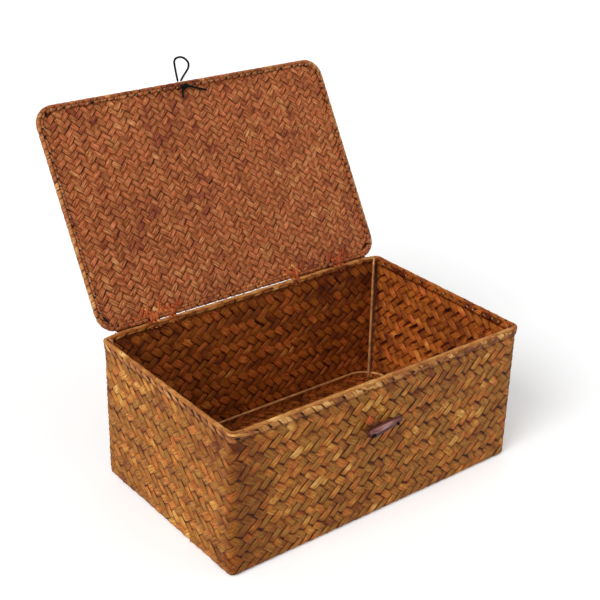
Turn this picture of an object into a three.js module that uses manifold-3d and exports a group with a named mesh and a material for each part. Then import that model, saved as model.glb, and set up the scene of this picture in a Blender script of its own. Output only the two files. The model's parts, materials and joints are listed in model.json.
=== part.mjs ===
// A woven seagrass storage box on a wire frame, with a hinged lid that stands open.
// Millimetres, +Z up. The origin is the centre of the underside, +X runs along the long side,
// and the toggle closure faces -Y. The lid turns about the wire in its rear hem.

import * as THREE from "three";
import { mergeVertices } from "three/addons/utils/BufferGeometryUtils.js";
import Module from "manifold-3d";

const wasm = await Module();
wasm.setup();

// Woven box, measured outside
const boxLength = 298;
const boxWidth = 182.4;
const boxHeight = 132;
const boxCornerRadius = 7;
const weaveThickness = 2.6;
const baseEdgeRadius = 2.2;

// Running and seating clearances
const fitGap = 0.3;
const cordGap = 0.4;

// Fold of the weave over the rim wire
const foldThickness = 1;
const foldHeight = 9;

// Wire frame inside the box
const wireDiameter = 2.6;
const ringHeight = 15;
const ringInset = 4.8;
const ringCornerRadius = 25;
const postOverrun = 2.8;

// Lid, measured from the outside of the walls
const lidFrontOverhang = 8.2;
const lidBackOverhang = 8.9;
const lidSideOverhang = 2.7;
const lidCornerRadius = 18;
const lidThickness = 2.2;
const hemThickness = 1.2;
const hemWidth = 5.7;
const lidOpenDegrees = 120.6;

// Lashings that hinge the lid to the rim
const lashingThickness = 0.9;
const outerLashingWidth = 8;
const innerLashingWidth = 5;
const lashingPlaceShares = { outer_left: -0.68, inner_left: -0.55, inner_right: 0.355, outer_right: 0.705 };

// Elastic closure cord and its knots
const closureOffset = -3;
const cordDiameter = 1.5;
const cordSpacing = 2.8;
const knotDiameter = 4;
const knotLength = 7;
const knotInset = 4.4;
const cordHoleInset = 5.2;

// Wooden toggle on the front wall
const toggleOffset = -4.9;
const toggleLength = 39;
const toggleDiameter = 11;
const toggleHeight = 88.2;
const toggleWallGap = 1;
const toggleTravel = 3;
const toggleCordDiameter = 1.8;
const toggleLeftHoleInset = 5.5;
const toggleRightHoleInset = 8;
const toggleKnotDiameter = 3.6;
const togglePocketFloor = 1.6;

// The toggle's outline: how far along it from its left end, and how thick it is there
const toggleOutlineShares = [
  [0, 0.45],
  [0.03, 0.72],
  [0.09, 0.9],
  [0.2, 1],
  [0.4, 0.98],
  [0.6, 0.9],
  [0.8, 0.78],
  [0.93, 0.66],
  [0.985, 0.48],
  [1, 0.28],
];

// Counts of flat steps
const cornerSteps = 7;
const archSteps = 8;
const wireSides = 10;
const cordSides = 8;
const edgeSteps = 3;
const barrelSides = 20;
const knotSides = 10;
const knotSteps = 6;
const bendSteps = 4;
const pathSteps = 2;

// A length that carries a cut clear through what it cuts
const cutOverrun = 4;

// Sizes and places that follow
const wireRadius = wireDiameter / 2;
const cordRadius = cordDiameter / 2;
const knotRadius = knotDiameter / 2;
const boxPlan = { x: boxLength / 2, y: boxWidth / 2, radius: boxCornerRadius };
const wallMiddle = -weaveThickness / 2;
const foldHalf = Math.max(weaveThickness, wireDiameter) / 2 + fitGap;
const foldOuterHalf = foldHalf + foldThickness;
const foldOuter = wallMiddle + foldOuterHalf;
const foldInner = wallMiddle - foldOuterHalf;
const rimWireHeight = boxHeight - foldOuterHalf;
const foldBottom = boxHeight - foldHeight;

const hemHalf = Math.max(lidThickness, wireDiameter) / 2 + fitGap;
const hemOuterHalf = hemHalf + hemThickness;
const lidWidth = boxWidth + lidFrontOverhang + lidBackOverhang;
const lidPlan = { x: boxPlan.x + lidSideOverhang, y: lidWidth / 2, radius: lidCornerRadius };
const axisY = boxPlan.y + lidBackOverhang - hemOuterHalf;
const axisZ = boxHeight + fitGap + hemOuterHalf;
const panelInset = hemOuterHalf + wireRadius + fitGap;

const toggleRadius = toggleDiameter / 2;
const toggleY = -(boxPlan.y + toggleWallGap + toggleRadius);
const toggleCordRadius = toggleCordDiameter / 2;
const toggleKnotRadius = toggleKnotDiameter / 2;
const toggleHoles = {
  left: toggleLeftHoleInset - toggleLength / 2,
  right: toggleLength / 2 - toggleRightHoleInset,
};

const SEAGRASS = { color: 0xa8672c, roughness: 0.75, metalness: 0 };
const SEAGRASS_INSIDE = { color: 0x7a4218, roughness: 0.8, metalness: 0 };
const LID_SEAGRASS = { color: 0x96502c, roughness: 0.75, metalness: 0 };
const LASHING = { color: 0xb4532a, roughness: 0.7, metalness: 0 };
const BRONZE_WIRE = { color: 0x8a6a3c, roughness: 0.4, metalness: 0.7 };
const BLACK_CORD = { color: 0x141414, roughness: 0.8, metalness: 0 };
const DARK_WOOD = { color: 0x4a2c28, roughness: 0.35, metalness: 0 };

// Solids: a closed geometry as a solid that can be joined and cut, and back again
function solidOf(geometry) {
  const bare = new THREE.BufferGeometry();
  bare.setAttribute("position", geometry.getAttribute("position"));
  bare.setIndex(geometry.index);
  const merged = mergeVertices(bare);
  return new wasm.Manifold(
    new wasm.Mesh({
      numProp: 3,
      vertProperties: new Float32Array(merged.attributes.position.array),
      triVerts: new Uint32Array(merged.index.array),
    }),
  );
}

function geometryOf(solid) {
  const mesh = solid.getMesh();
  const geometry = new THREE.BufferGeometry();
  geometry.setAttribute("position", new THREE.BufferAttribute(mesh.vertProperties, 3));
  geometry.setIndex(new THREE.BufferAttribute(mesh.triVerts, 1));
  geometry.computeVertexNormals();
  return geometry;
}

function joined(...geometries) {
  return geometryOf(geometries.map(solidOf).reduce((a, b) => a.add(b)));
}

function cut(geometry, tools) {
  return geometryOf(tools.map(solidOf).reduce((a, b) => a.subtract(b), solidOf(geometry)));
}

function boxBetween(low, high) {
  const size = high.map((value, i) => value - low[i]);
  const middle = high.map((value, i) => (value + low[i]) / 2);
  return new THREE.BoxGeometry(...size).translate(...middle);
}

// A round bar from one point to another
function bar(from, to, radius, sides) {
  const start = new THREE.Vector3(...from);
  const end = new THREE.Vector3(...to);
  const along = end.clone().sub(start);
  const turn = new THREE.Quaternion().setFromUnitVectors(
    new THREE.Vector3(0, 1, 0),
    along.clone().normalize(),
  );
  const middle = start.clone().add(end).multiplyScalar(0.5);
  return new THREE.CylinderGeometry(radius, radius, along.length(), sides)
    .applyQuaternion(turn)
    .translate(middle.x, middle.y, middle.z);
}

// A smooth curve whose steps follow its points, so that a short bend gets as many as a long run
class PointCurve extends THREE.CatmullRomCurve3 {
  getUtoTmapping(share) {
    return share;
  }
}

// A round tube along a list of points
function tube(points, radius, sides) {
  const path = new PointCurve(points.map((point) => new THREE.Vector3(...point)));
  return new THREE.ExtrudeGeometry(new THREE.Shape(circle(radius, sides)), {
    steps: (points.length - 1) * pathSteps,
    extrudePath: path,
  });
}

// A knot drawn tight: a bead that lies along X
function knotBead(radius, length) {
  return new THREE.SphereGeometry(radius, knotSides, knotSteps)
    .rotateZ(Math.PI / 2)
    .scale(length / (2 * radius), 1, 1);
}

function circle(radius, sides) {
  return Array.from({ length: sides }, (_, i) => {
    const angle = (2 * Math.PI * i) / sides;
    return new THREE.Vector2(radius * Math.cos(angle), radius * Math.sin(angle));
  });
}

// Rounded rectangle seen from above: each step's corner centre and outward direction
function stepsAround(plan) {
  const signs = [
    [1, 1],
    [-1, 1],
    [-1, -1],
    [1, -1],
  ];
  return signs.flatMap(([signX, signY], corner) =>
    Array.from({ length: cornerSteps + 1 }, (_, i) => {
      const angle = ((corner + i / cornerSteps) * Math.PI) / 2;
      return {
        x: signX * (plan.x - plan.radius),
        y: signY * (plan.y - plan.radius),
        outX: Math.cos(angle),
        outY: Math.sin(angle),
      };
    }),
  );
}

function ringPoints(plan, section) {
  return stepsAround(plan).flatMap((step) =>
    section.flatMap(([out, up]) => [
      step.x + (plan.radius + out) * step.outX,
      step.y + (plan.radius + out) * step.outY,
      up,
    ]),
  );
}

function indexed(positions, indices) {
  const geometry = new THREE.BufferGeometry();
  geometry.setAttribute("position", new THREE.Float32BufferAttribute(positions, 3));
  geometry.setIndex(indices);
  return geometry;
}

// A closed section of [outward, up] points, counter-clockwise, carried around a rounded rectangle
function sweepAround(section, plan) {
  const around = 4 * (cornerSteps + 1);
  const count = section.length;
  const indices = [];
  for (let i = 0; i < around; i++) {
    for (let j = 0; j < count; j++) {
      const here = i * count;
      const next = ((i + 1) % around) * count;
      const along = (j + 1) % count;
      indices.push(here + j, next + j, here + along);
      indices.push(here + along, next + j, next + along);
    }
  }
  return indexed(ringPoints(plan, section), indices);
}

// A plate with the outline of a rounded rectangle. Its edge runs through [outward, up] points.
function plate(edge, plan) {
  const around = 4 * (cornerSteps + 1);
  const count = edge.length;
  const positions = ringPoints(plan, edge);
  positions.push(0, 0, edge[0][1], 0, 0, edge[count - 1][1]);
  const bottom = around * count;
  const top = bottom + 1;
  const indices = [];
  for (let i = 0; i < around; i++) {
    const here = i * count;
    const next = ((i + 1) % around) * count;
    indices.push(bottom, next, here);
    indices.push(top, here + count - 1, next + count - 1);
    for (let j = 0; j < count - 1; j++) {
      indices.push(here + j, next + j, here + j + 1);
      indices.push(here + j + 1, next + j, next + j + 1);
    }
  }
  return indexed(positions, indices);
}

// A wire of round section, closed on itself around a rounded rectangle
function wireRing(plan, out, up) {
  const section = circle(wireRadius, wireSides).map((point) => [out + point.x, up + point.y]);
  return sweepAround(section, plan);
}

// An arch that wraps a wire: half round over it, with a leg down each side. [across, up] points
// start at the wire's centre and run counter-clockwise.
function archSection(innerHalf, outerHalf, legLength) {
  const arc = (radius, from, to) =>
    Array.from({ length: archSteps + 1 }, (_, i) => {
      const angle = from + ((to - from) * i) / archSteps;
      return [radius * Math.cos(angle), radius * Math.sin(angle)];
    });
  return [
    ...arc(outerHalf, 0, Math.PI),
    [-outerHalf, -legLength],
    [-innerHalf, -legLength],
    ...arc(innerHalf, Math.PI, 0),
    [innerHalf, -legLength],
    [outerHalf, -legLength],
  ];
}

// Each lashing's name, its place along the box and its width
const lashings = Object.entries(lashingPlaceShares).map(([name, share]) => ({
  name,
  x: share * boxPlan.x,
  half: (name.startsWith("outer") ? outerLashingWidth : innerLashingWidth) / 2,
}));

// The lashings' slots, through whatever lies between two [y, z] corners
function lashingSlots(low, high) {
  return lashings.map(({ x, half }) =>
    boxBetween([x - half - fitGap, ...low], [x + half + fitGap, ...high]),
  );
}

function wovenBase() {
  const round = Math.min(baseEdgeRadius, weaveThickness - fitGap);
  const edge = Array.from({ length: edgeSteps + 1 }, (_, i) => {
    const angle = (Math.PI * i) / (2 * edgeSteps);
    return [round * (Math.sin(angle) - 1), round * (1 - Math.cos(angle))];
  });
  edge.push([0, weaveThickness]);
  return plate(edge, boxPlan);
}

function wovenWall() {
  const low = weaveThickness + fitGap;
  const high = rimWireHeight - wireRadius - fitGap;
  const band = [
    [-weaveThickness, low],
    [0, low],
    [0, high],
    [-weaveThickness, high],
  ];
  const innerFace = boxPlan.y - weaveThickness;
  const slots = lashingSlots(
    [innerFace - cutOverrun, foldBottom - lashingThickness - 2 * fitGap],
    [boxPlan.y + cutOverrun, foldBottom],
  );
  const holes = Object.values(toggleHoles).map((along) =>
    bar(
      [toggleOffset + along, -innerFace + cutOverrun, toggleHeight],
      [toggleOffset + along, -boxPlan.y - cutOverrun, toggleHeight],
      toggleCordRadius + cordGap,
      cordSides,
    ),
  );
  return cut(sweepAround(band, boxPlan), [...slots, ...holes]);
}

function rimFold() {
  const section = archSection(foldHalf, foldOuterHalf, rimWireHeight - foldBottom);
  const placed = section.map(([across, up]) => [wallMiddle + across, rimWireHeight + up]);
  const holes = postCorners.map((corner) => postTube(corner, fitGap));
  return cut(sweepAround(placed, boxPlan), holes);
}

// Wire frame: the ring hangs above the base on four corner posts, which hook under the rim wire
const ringPlan = {
  x: boxPlan.x - weaveThickness - ringInset,
  y: boxPlan.y - weaveThickness - ringInset,
  radius: ringCornerRadius,
};

const postCorners = [
  ["front_left", -1, -1],
  ["front_right", 1, -1],
  ["back_left", -1, 1],
  ["back_right", 1, 1],
];

// A point on a corner's diagonal, that far from the centre of the corner's round
function onDiagonal(plan, signX, signY, reach, up) {
  const step = reach * Math.SQRT1_2;
  return [signX * (plan.x - plan.radius + step), signY * (plan.y - plan.radius + step), up];
}

// A post leans outwards from its foot, past the inside of the ring, and bends to meet the rim
// wire. The hole for it is the same tube with a clearance.
function postTube([, signX, signY], clearance = 0) {
  const pass = ringPlan.radius - wireDiameter - fitGap;
  const top = boxPlan.radius + foldInner - fitGap - wireRadius;
  const end = boxPlan.radius + wallMiddle - wireRadius - fitGap;
  const bend = end - top;
  const low = onDiagonal(ringPlan, signX, signY, pass, ringHeight);
  const high = onDiagonal(boxPlan, signX, signY, top, rimWireHeight - 2 * bend);
  const overrunShare = postOverrun / (high[2] - low[2]);
  const foot = low.map((value, i) => value - overrunShare * (high[i] - value));
  const points = [foot, high];
  for (let i = 0; i <= bendSteps; i++) {
    const angle = (Math.PI * i) / (2 * bendSteps);
    const reach = top + bend * (1 - Math.cos(angle));
    points.push(onDiagonal(boxPlan, signX, signY, reach, rimWireHeight - bend * (1 - Math.sin(angle))));
  }
  if (clearance > 0) {
    points.push(onDiagonal(boxPlan, signX, signY, end + clearance, rimWireHeight));
  }
  return tube(points, wireRadius + clearance, wireSides);
}

// One lashing: a loop around the rim fold and a ring around the lid's hem, as one strap
function lashing({ x, half }) {
  const toBox = new THREE.Matrix4().makeBasis(
    new THREE.Vector3(0, 1, 0),
    new THREE.Vector3(0, 0, 1),
    new THREE.Vector3(1, 0, 0),
  );
  const strap = (shape) =>
    new THREE.ExtrudeGeometry(shape, {
      depth: 2 * half,
      curveSegments: 3 * archSteps,
      bevelEnabled: false,
    })
      .applyMatrix4(toBox)
      .translate(x - half, 0, 0);
  const inner = hemOuterHalf + fitGap;
  const ring = new THREE.Shape().absarc(axisY, axisZ, inner + lashingThickness, 0, 2 * Math.PI);
  ring.holes.push(new THREE.Path().absarc(axisY, axisZ, inner, 0, 2 * Math.PI, true));

  const left = boxPlan.y + foldInner - fitGap;
  const right = boxPlan.y + foldOuter + fitGap;
  const low = foldBottom - fitGap;
  const high = boxHeight + fitGap;
  const outline = (grow) =>
    [
      [left - grow, low - grow],
      [right + grow, low - grow],
      [right + grow, high + grow],
      [left - grow, high + grow],
    ].map((corner) => new THREE.Vector2(...corner));
  const loop = new THREE.Shape(outline(lashingThickness));
  loop.holes.push(new THREE.Path(outline(0)));

  const riser = boxBetween([x - half, right, high], [x + half, right + lashingThickness, axisZ]);
  return joined(strap(ring), strap(loop), riser);
}

// The lid is built flat about its hinge axis, with the closed lid running towards -Y
const lidMiddleY = hemOuterHalf - lidWidth / 2;

function lidPoint(x, fromFront, up) {
  return [x, hemOuterHalf - lidWidth + fromFront, up];
}

function lidPart(geometry) {
  return geometry.translate(0, lidMiddleY, 0);
}

// Slots in the rear hem and panel for the lashings, from the hinge axis inwards
function lidSlots() {
  const strap = boxPlan.y + foldOuter + fitGap - axisY;
  const end = Math.min(strap - fitGap, hemOuterHalf - hemWidth - fitGap);
  const half = hemOuterHalf + fitGap;
  return lashingSlots([end, -half], [0, half]);
}

function cordHoles() {
  return [-1, 1].map((side) => {
    const x = closureOffset + (side * cordSpacing) / 2;
    return bar(
      lidPoint(x, cordHoleInset, -hemOuterHalf - cutOverrun),
      lidPoint(x, cordHoleInset, hemOuterHalf + cutOverrun),
      cordRadius + fitGap,
      cordSides,
    );
  });
}

function lidPanel() {
  const edge = [-lidThickness / 2, lidThickness / 2].map((up) => [-panelInset, up]);
  return cut(lidPart(plate(edge, lidPlan)), [...lidSlots(), ...cordHoles()]);
}

function lidHem() {
  const section = archSection(hemHalf, hemOuterHalf, hemWidth - hemOuterHalf);
  const placed = section.map(([across, up]) => [up - hemOuterHalf, -across]);
  return cut(lidPart(sweepAround(placed, lidPlan)), [...lidSlots(), ...cordHoles()]);
}

// Closure: the cord is knotted under the lid, passes up through it and leads to its edge
const pivot = { fromFront: -cordRadius - fitGap, up: hemOuterHalf + fitGap + cordRadius };

// The two tails, as [across, from the lid's front edge, up] points. Closed, they lie between
// the rim and the lid.
const longTailRoute = [
  [0.5, 4.4, -5.1],
  [3, 4.8, -4.9],
  [5.5, 6, -4.05],
  [8.5, 7.2, -2.85],
  [12, 8.4, -2.2],
  [16, 10, -2.05],
  [20.4, 12.6, -2.05],
];
const shortTailRoute = [
  [-1.2, 4.4, -5.1],
  [-1.6, 6, -4.05],
  [-2.1, 7.2, -2.85],
  [-2.7, 8.4, -2.2],
  [-3.6, 11, -2.05],
  [-5.5, 16.4, -2.05],
];

function closureTie() {
  const knotUp = -hemOuterHalf - fitGap - knotRadius;
  const knot = knotBead(knotRadius, knotLength).translate(...lidPoint(closureOffset, knotInset, knotUp));
  const lead = pivot.fromFront + cordRadius + fitGap;
  const legs = [-1, 1].map((side) => {
    const x = closureOffset + (side * cordSpacing) / 2;
    return tube(
      [
        lidPoint(x, cordHoleInset, knotUp),
        lidPoint(x, cordHoleInset, hemHalf),
        lidPoint(x, cordHoleInset - cordRadius / 2, pivot.up - cordRadius / 2),
        lidPoint(x, cordHoleInset - cordDiameter, pivot.up),
        lidPoint(x, cordDiameter, pivot.up),
        lidPoint(x, lead, pivot.up),
      ],
      cordRadius,
      cordSides,
    );
  });
  const tails = [longTailRoute, shortTailRoute].map((route) =>
    tube(
      route.map(([across, fromFront, up]) => lidPoint(closureOffset + across, fromFront, up)),
      cordRadius,
      cordSides,
    ),
  );
  return joined(knot, ...legs, ...tails);
}

// The free loop, as [across, up] points from the middle of its two feet: a lopsided teardrop
const loopRoute = [
  [-1.4, 0],
  [-3.1, 7.6],
  [-4.5, 15.1],
  [-4.9, 18.7],
  [-3.9, 21],
  [-1.7, 22],
  [1.6, 22.1],
  [4.9, 21],
  [7.5, 19],
  [9.7, 16.4],
  [10.4, 13.9],
  [9.9, 11.1],
  [7.9, 8.2],
  [4.5, 4.2],
  [1.4, 0],
];

function closureLoop() {
  const points = loopRoute.map(([across, up]) => [closureOffset + across, 0, up]);
  const feet = [points[0], points[points.length - 1]].map((foot) =>
    new THREE.SphereGeometry(cordRadius, cordSides, cordSides / 2).translate(...foot),
  );
  return joined(tube(points, cordRadius, cordSides), ...feet);
}

function toggleBarrel() {
  const outline = toggleOutlineShares.map(
    ([along, thick]) => new THREE.Vector2(thick * toggleRadius, (along - 0.5) * toggleLength),
  );
  const ends = [-0.5, 0.5].map((side) => new THREE.Vector2(0, side * toggleLength));
  const profile = [ends[0], ...outline, ends[1]];
  const barrel = new THREE.LatheGeometry(profile, barrelSides).rotateZ(-Math.PI / 2);
  const tools = Object.values(toggleHoles).flatMap((x) => {
    const front = [x, -toggleDiameter, 0];
    return [
      bar(front, [x, toggleDiameter, 0], toggleCordRadius + cordGap, cordSides),
      bar(front, [x, -togglePocketFloor, 0], toggleKnotRadius + cordGap, knotSides),
    ];
  });
  return cut(barrel, tools);
}

// The toggle's cord: one U through the wall, whose run inside the box leaves slack to pull
function toggleCord() {
  const inside = boxPlan.y - weaveThickness;
  const run = -inside + toggleTravel + cordGap + toggleCordRadius - toggleY;
  const corner = toggleCordDiameter * (1 - Math.SQRT1_2);
  const halfRoute = (x, inward) => [
    [x, -togglePocketFloor, 0],
    [x, run - toggleCordDiameter, 0],
    [x + inward * corner, run - corner, 0],
    [x + inward * toggleCordDiameter, run, 0],
  ];
  const points = [...halfRoute(toggleHoles.left, 1), ...halfRoute(toggleHoles.right, -1).reverse()];
  return tube(points, toggleCordRadius, cordSides);
}

function toggleKnot(x) {
  const out = togglePocketFloor + fitGap + toggleKnotRadius;
  return knotBead(toggleKnotRadius, toggleKnotDiameter).translate(x, -out, 0);
}

// The object as a scene
function piece(name, geometry, material) {
  const mesh = new THREE.Mesh(geometry, new THREE.MeshStandardMaterial(material));
  mesh.name = name;
  return mesh;
}

const box = new THREE.Group();
box.add(piece("woven_base", wovenBase(), SEAGRASS_INSIDE));
box.add(piece("woven_wall", wovenWall(), SEAGRASS));
box.add(piece("rim_fold", rimFold(), SEAGRASS));
box.add(piece("rim_wire", wireRing(boxPlan, wallMiddle, rimWireHeight), BRONZE_WIRE));
box.add(piece("base_ring", wireRing(ringPlan, 0, ringHeight), BRONZE_WIRE));
for (const corner of postCorners) {
  box.add(piece("corner_post_" + corner[0], postTube(corner), BRONZE_WIRE));
}
for (const place of lashings) {
  box.add(piece("hinge_lashing_" + place.name, lashing(place), LASHING));
}

const lid = new THREE.Group();
lid.position.set(0, axisY, axisZ);
lid.rotation.x = THREE.MathUtils.degToRad(-lidOpenDegrees);
lid.add(piece("lid_panel", lidPanel(), LID_SEAGRASS));
lid.add(piece("lid_hem", lidHem(), LID_SEAGRASS));
lid.add(piece("lid_wire", lidPart(wireRing(lidPlan, -hemOuterHalf, 0)), BRONZE_WIRE));
lid.add(piece("closure_tie", closureTie(), BLACK_CORD));

// The loop stands upright on its pivot while the lid is open
const loop = new THREE.Group();
loop.position.set(...lidPoint(0, pivot.fromFront, pivot.up));
loop.rotation.x = -lid.rotation.x;
loop.add(piece("closure_loop", closureLoop(), BLACK_CORD));
lid.add(loop);

const toggle = new THREE.Group();
toggle.position.set(toggleOffset, toggleY, toggleHeight);
toggle.add(piece("toggle", toggleBarrel(), DARK_WOOD));
toggle.add(piece("toggle_cord", toggleCord(), BLACK_CORD));
for (const [side, x] of Object.entries(toggleHoles)) {
  toggle.add(piece("toggle_knot_" + side, toggleKnot(x), BLACK_CORD));
}

const wovenBox = new THREE.Group();
wovenBox.add(box, lid, toggle);

export default wovenBox;
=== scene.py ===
"""Looks for a seagrass box: woven strips, folded rims, wire frame, hinge ties and a cord closure.

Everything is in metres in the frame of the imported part: +Z up, +X along the long side, and the
closure faces -Y. The lid stands open at rest and is built closed, then turned about its hinge.
"""

import json
import math

import bpy
import numpy as np
from mathutils import Matrix, Vector


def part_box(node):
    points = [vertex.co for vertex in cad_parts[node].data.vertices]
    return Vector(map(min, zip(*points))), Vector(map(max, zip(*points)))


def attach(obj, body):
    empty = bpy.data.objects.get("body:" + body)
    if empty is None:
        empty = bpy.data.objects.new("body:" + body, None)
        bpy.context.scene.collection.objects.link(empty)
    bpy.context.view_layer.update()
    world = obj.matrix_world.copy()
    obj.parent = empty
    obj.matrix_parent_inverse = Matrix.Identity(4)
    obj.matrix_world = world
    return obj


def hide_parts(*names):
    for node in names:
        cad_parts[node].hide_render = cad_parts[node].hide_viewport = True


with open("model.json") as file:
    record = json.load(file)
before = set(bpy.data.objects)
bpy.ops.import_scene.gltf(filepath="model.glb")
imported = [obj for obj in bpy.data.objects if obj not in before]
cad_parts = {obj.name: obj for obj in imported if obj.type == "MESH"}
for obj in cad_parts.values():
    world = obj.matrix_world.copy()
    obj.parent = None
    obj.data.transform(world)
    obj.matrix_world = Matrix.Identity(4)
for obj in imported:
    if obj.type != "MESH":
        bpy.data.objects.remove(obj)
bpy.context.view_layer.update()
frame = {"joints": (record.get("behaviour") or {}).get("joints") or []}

MM = 0.001
TURN = 2 * math.pi
random = np.random.default_rng(7)

# Camera fitted to the photograph
CAMERA_PLACE = (-0.5973, -0.7209, 0.6115)
CAMERA_AZIMUTH = math.radians(38.80)
CAMERA_ELEVATION = math.radians(25.66)
CAMERA_ROLL = math.radians(1.57)
FOCAL_SHARE = 1234.5 / 600
SENSOR_WIDTH = 36

# Places taken from the frame
WALL_LOW, WALL_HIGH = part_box("woven_wall")
RIM_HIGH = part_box("rim_fold")[1]
RING_LOW, RING_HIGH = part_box("base_ring")
TOGGLE_LOW, TOGGLE_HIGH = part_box("toggle")
joints = {joint["name"]: joint for joint in frame["joints"]}
HINGE = Vector(joints["lid_hinge"]["pos_m"])
LID_OPEN = math.radians(joints["lid_hinge"]["range_deg"][1])
LOOP_PIVOT = Vector(joints["loop_swing"]["pos_m"])
LID_AT_REST = Matrix.Translation(HINGE) @ Matrix.Rotation(-LID_OPEN, 4, "X")

# Sizes of the weave and its folds
WALL_THICKNESS = 2.6 * MM
WALL_RADIUS = 4 * MM
WALL_SWELL = (2.9 * MM, 1.3 * MM)
WALL_SHIFT = (0.5 * MM, 1.7 * MM)
WALL_COLUMNS = 95
WALL_ROW_HEIGHT = 17.5 * MM
WALL_ROW_START = -6.3 * MM
UNDERSIDE = 1.05 * MM
TURN_RADIUS = 1.6 * MM
WALL_STRIP_LOW = -6 * MM
WALL_UNEVEN_FADE = 20 * MM
BASE_INSET = 3.4 * MM
STRIP_THICKNESS = 0.7 * MM
STRIP_TILT = 0.2 * MM
STRIP_OFFSET = 0.5 * MM
WIRE_RADIUS = 1.3 * MM
RIM_HALF = 2.05 * MM
BACK_RIM_RISE = 1.6 * MM
RIM_WIRE_Z = RIM_HIGH.z - 2.6 * MM
WALL_STRIP_HIGH = RIM_WIRE_Z - 0.2 * MM
FOLD_THICKNESS = 0.42 * MM
THREAD_RADIUS = 0.36 * MM

# How much further apart the wall's layers stand at the rim's wire, from how far below it they
# begin to part, and over what height
RIM_SPREAD = 0.55 * MM
RIM_SPREAD_BELOW = 4 * MM
RIM_SPREAD_RUN = 3.6 * MM

LID_HALF_LENGTH = 153 * MM
LID_WIDTH = 199.5 * MM
LID_RADIUS = 18 * MM
HEM_HALF = 2.8 * MM
LID_HALF_COLUMN = 3.35 * MM
LID_HALF_ROW = 3.3 * MM
LID_INSET = 4.5 * MM
LID_STRIP_OFFSET = 0.42 * MM
LID_STRIP_THICKNESS = 0.6 * MM
LID_STRIP_TILT = 0.18 * MM
HEM_COUNT = 140

CORD_RADIUS = 0.95 * MM
CLOSURE_X = -3 * MM
CORD_SPACING = 2.8 * MM


def camera():
    forward = Vector(
        (
            math.sin(CAMERA_AZIMUTH) * math.cos(CAMERA_ELEVATION),
            math.cos(CAMERA_AZIMUTH) * math.cos(CAMERA_ELEVATION),
            -math.sin(CAMERA_ELEVATION),
        )
    )
    level = forward.cross(Vector((0, 0, 1))).normalized()
    upright = level.cross(forward)
    right = math.cos(CAMERA_ROLL) * level + math.sin(CAMERA_ROLL) * upright
    up = right.cross(forward)
    data = bpy.data.cameras.new("camera")
    data.sensor_width = SENSOR_WIDTH
    data.lens = SENSOR_WIDTH * FOCAL_SHARE
    data.clip_end = 20
    item = bpy.data.objects.new("camera", data)
    bpy.context.scene.collection.objects.link(item)
    axes = Matrix((right, up, -forward)).transposed().to_4x4()
    item.matrix_world = Matrix.Translation(CAMERA_PLACE) @ axes
    bpy.context.scene.camera = item


# Node trees


def add(tree, kind, values=None, **settings):
    """A node with its settings, and its inputs by name or number, each a value or an output."""
    node = tree.nodes.new("ShaderNode" + kind)
    for key, value in settings.items():
        setattr(node, key, value)
    for key, value in (values or {}).items():
        if isinstance(value, bpy.types.NodeSocket):
            tree.links.new(value, node.inputs[key])
        else:
            node.inputs[key].default_value = value
    return node


def maths(tree, operation, a, b=0.0, c=0.0, clamp=False):
    values = {0: a, 1: b, 2: c}
    return add(tree, "Math", values, operation=operation, use_clamp=clamp).outputs[0]


def attribute(tree, name):
    return add(tree, "Attribute", attribute_name=name).outputs["Fac"]


def vector(tree, x, y, z=0.0):
    return add(tree, "CombineXYZ", {0: x, 1: y, 2: z}).outputs[0]


def noise(tree, place, scale, detail=2.0, roughness=0.5):
    values = {"Vector": place, "Scale": scale, "Detail": detail, "Roughness": roughness}
    return add(tree, "TexNoise", values).outputs["Fac"]


def ranged(tree, value, low, high, to_low=0.0, to_high=1.0):
    values = {"Value": value, 1: low, 2: high, 3: to_low, 4: to_high}
    return add(tree, "MapRange", values).outputs[0]


def blended(tree, share, a, b, blend_type="MIX"):
    node = add(tree, "Mix", data_type="RGBA", blend_type=blend_type)
    for key, value in (("Factor_Float", share), ("A_Color", a), ("B_Color", b)):
        socket = next(s for s in node.inputs if s.identifier == key)
        if isinstance(value, bpy.types.NodeSocket):
            tree.links.new(value, socket)
        else:
            socket.default_value = value
    return next(s for s in node.outputs if s.identifier == "Result_Color")


def srgb(red, green, blue):
    """A colour of 0 to 255 in each channel as the linear values that Blender takes."""
    shares = [channel / 255 for channel in (red, green, blue)]
    return [s / 12.92 if s < 0.04045 else ((s + 0.055) / 1.055) ** 2.4 for s in shares] + [1]


def ramp(tree, value, stops):
    node = add(tree, "ValToRGB", {"Fac": value})
    points = node.color_ramp.elements
    while len(points) < len(stops):
        points.new(0.5)
    for point, (place, colour) in zip(points, stops):
        point.position = place
        point.color = srgb(*colour)
    return node.outputs["Color"]


def material(name, roughness=0.6):
    made = bpy.data.materials.new(name)
    made.use_nodes = True
    tree = made.node_tree
    shader = tree.nodes["Principled BSDF"]
    shader.inputs["Roughness"].default_value = roughness
    return made, tree, shader


def raised(tree, shader, height, distance, strength=1.0):
    values = {"Height": height, "Distance": distance, "Strength": strength}
    tree.links.new(add(tree, "Bump", values).outputs[0], shader.inputs["Normal"])


# Materials

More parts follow.
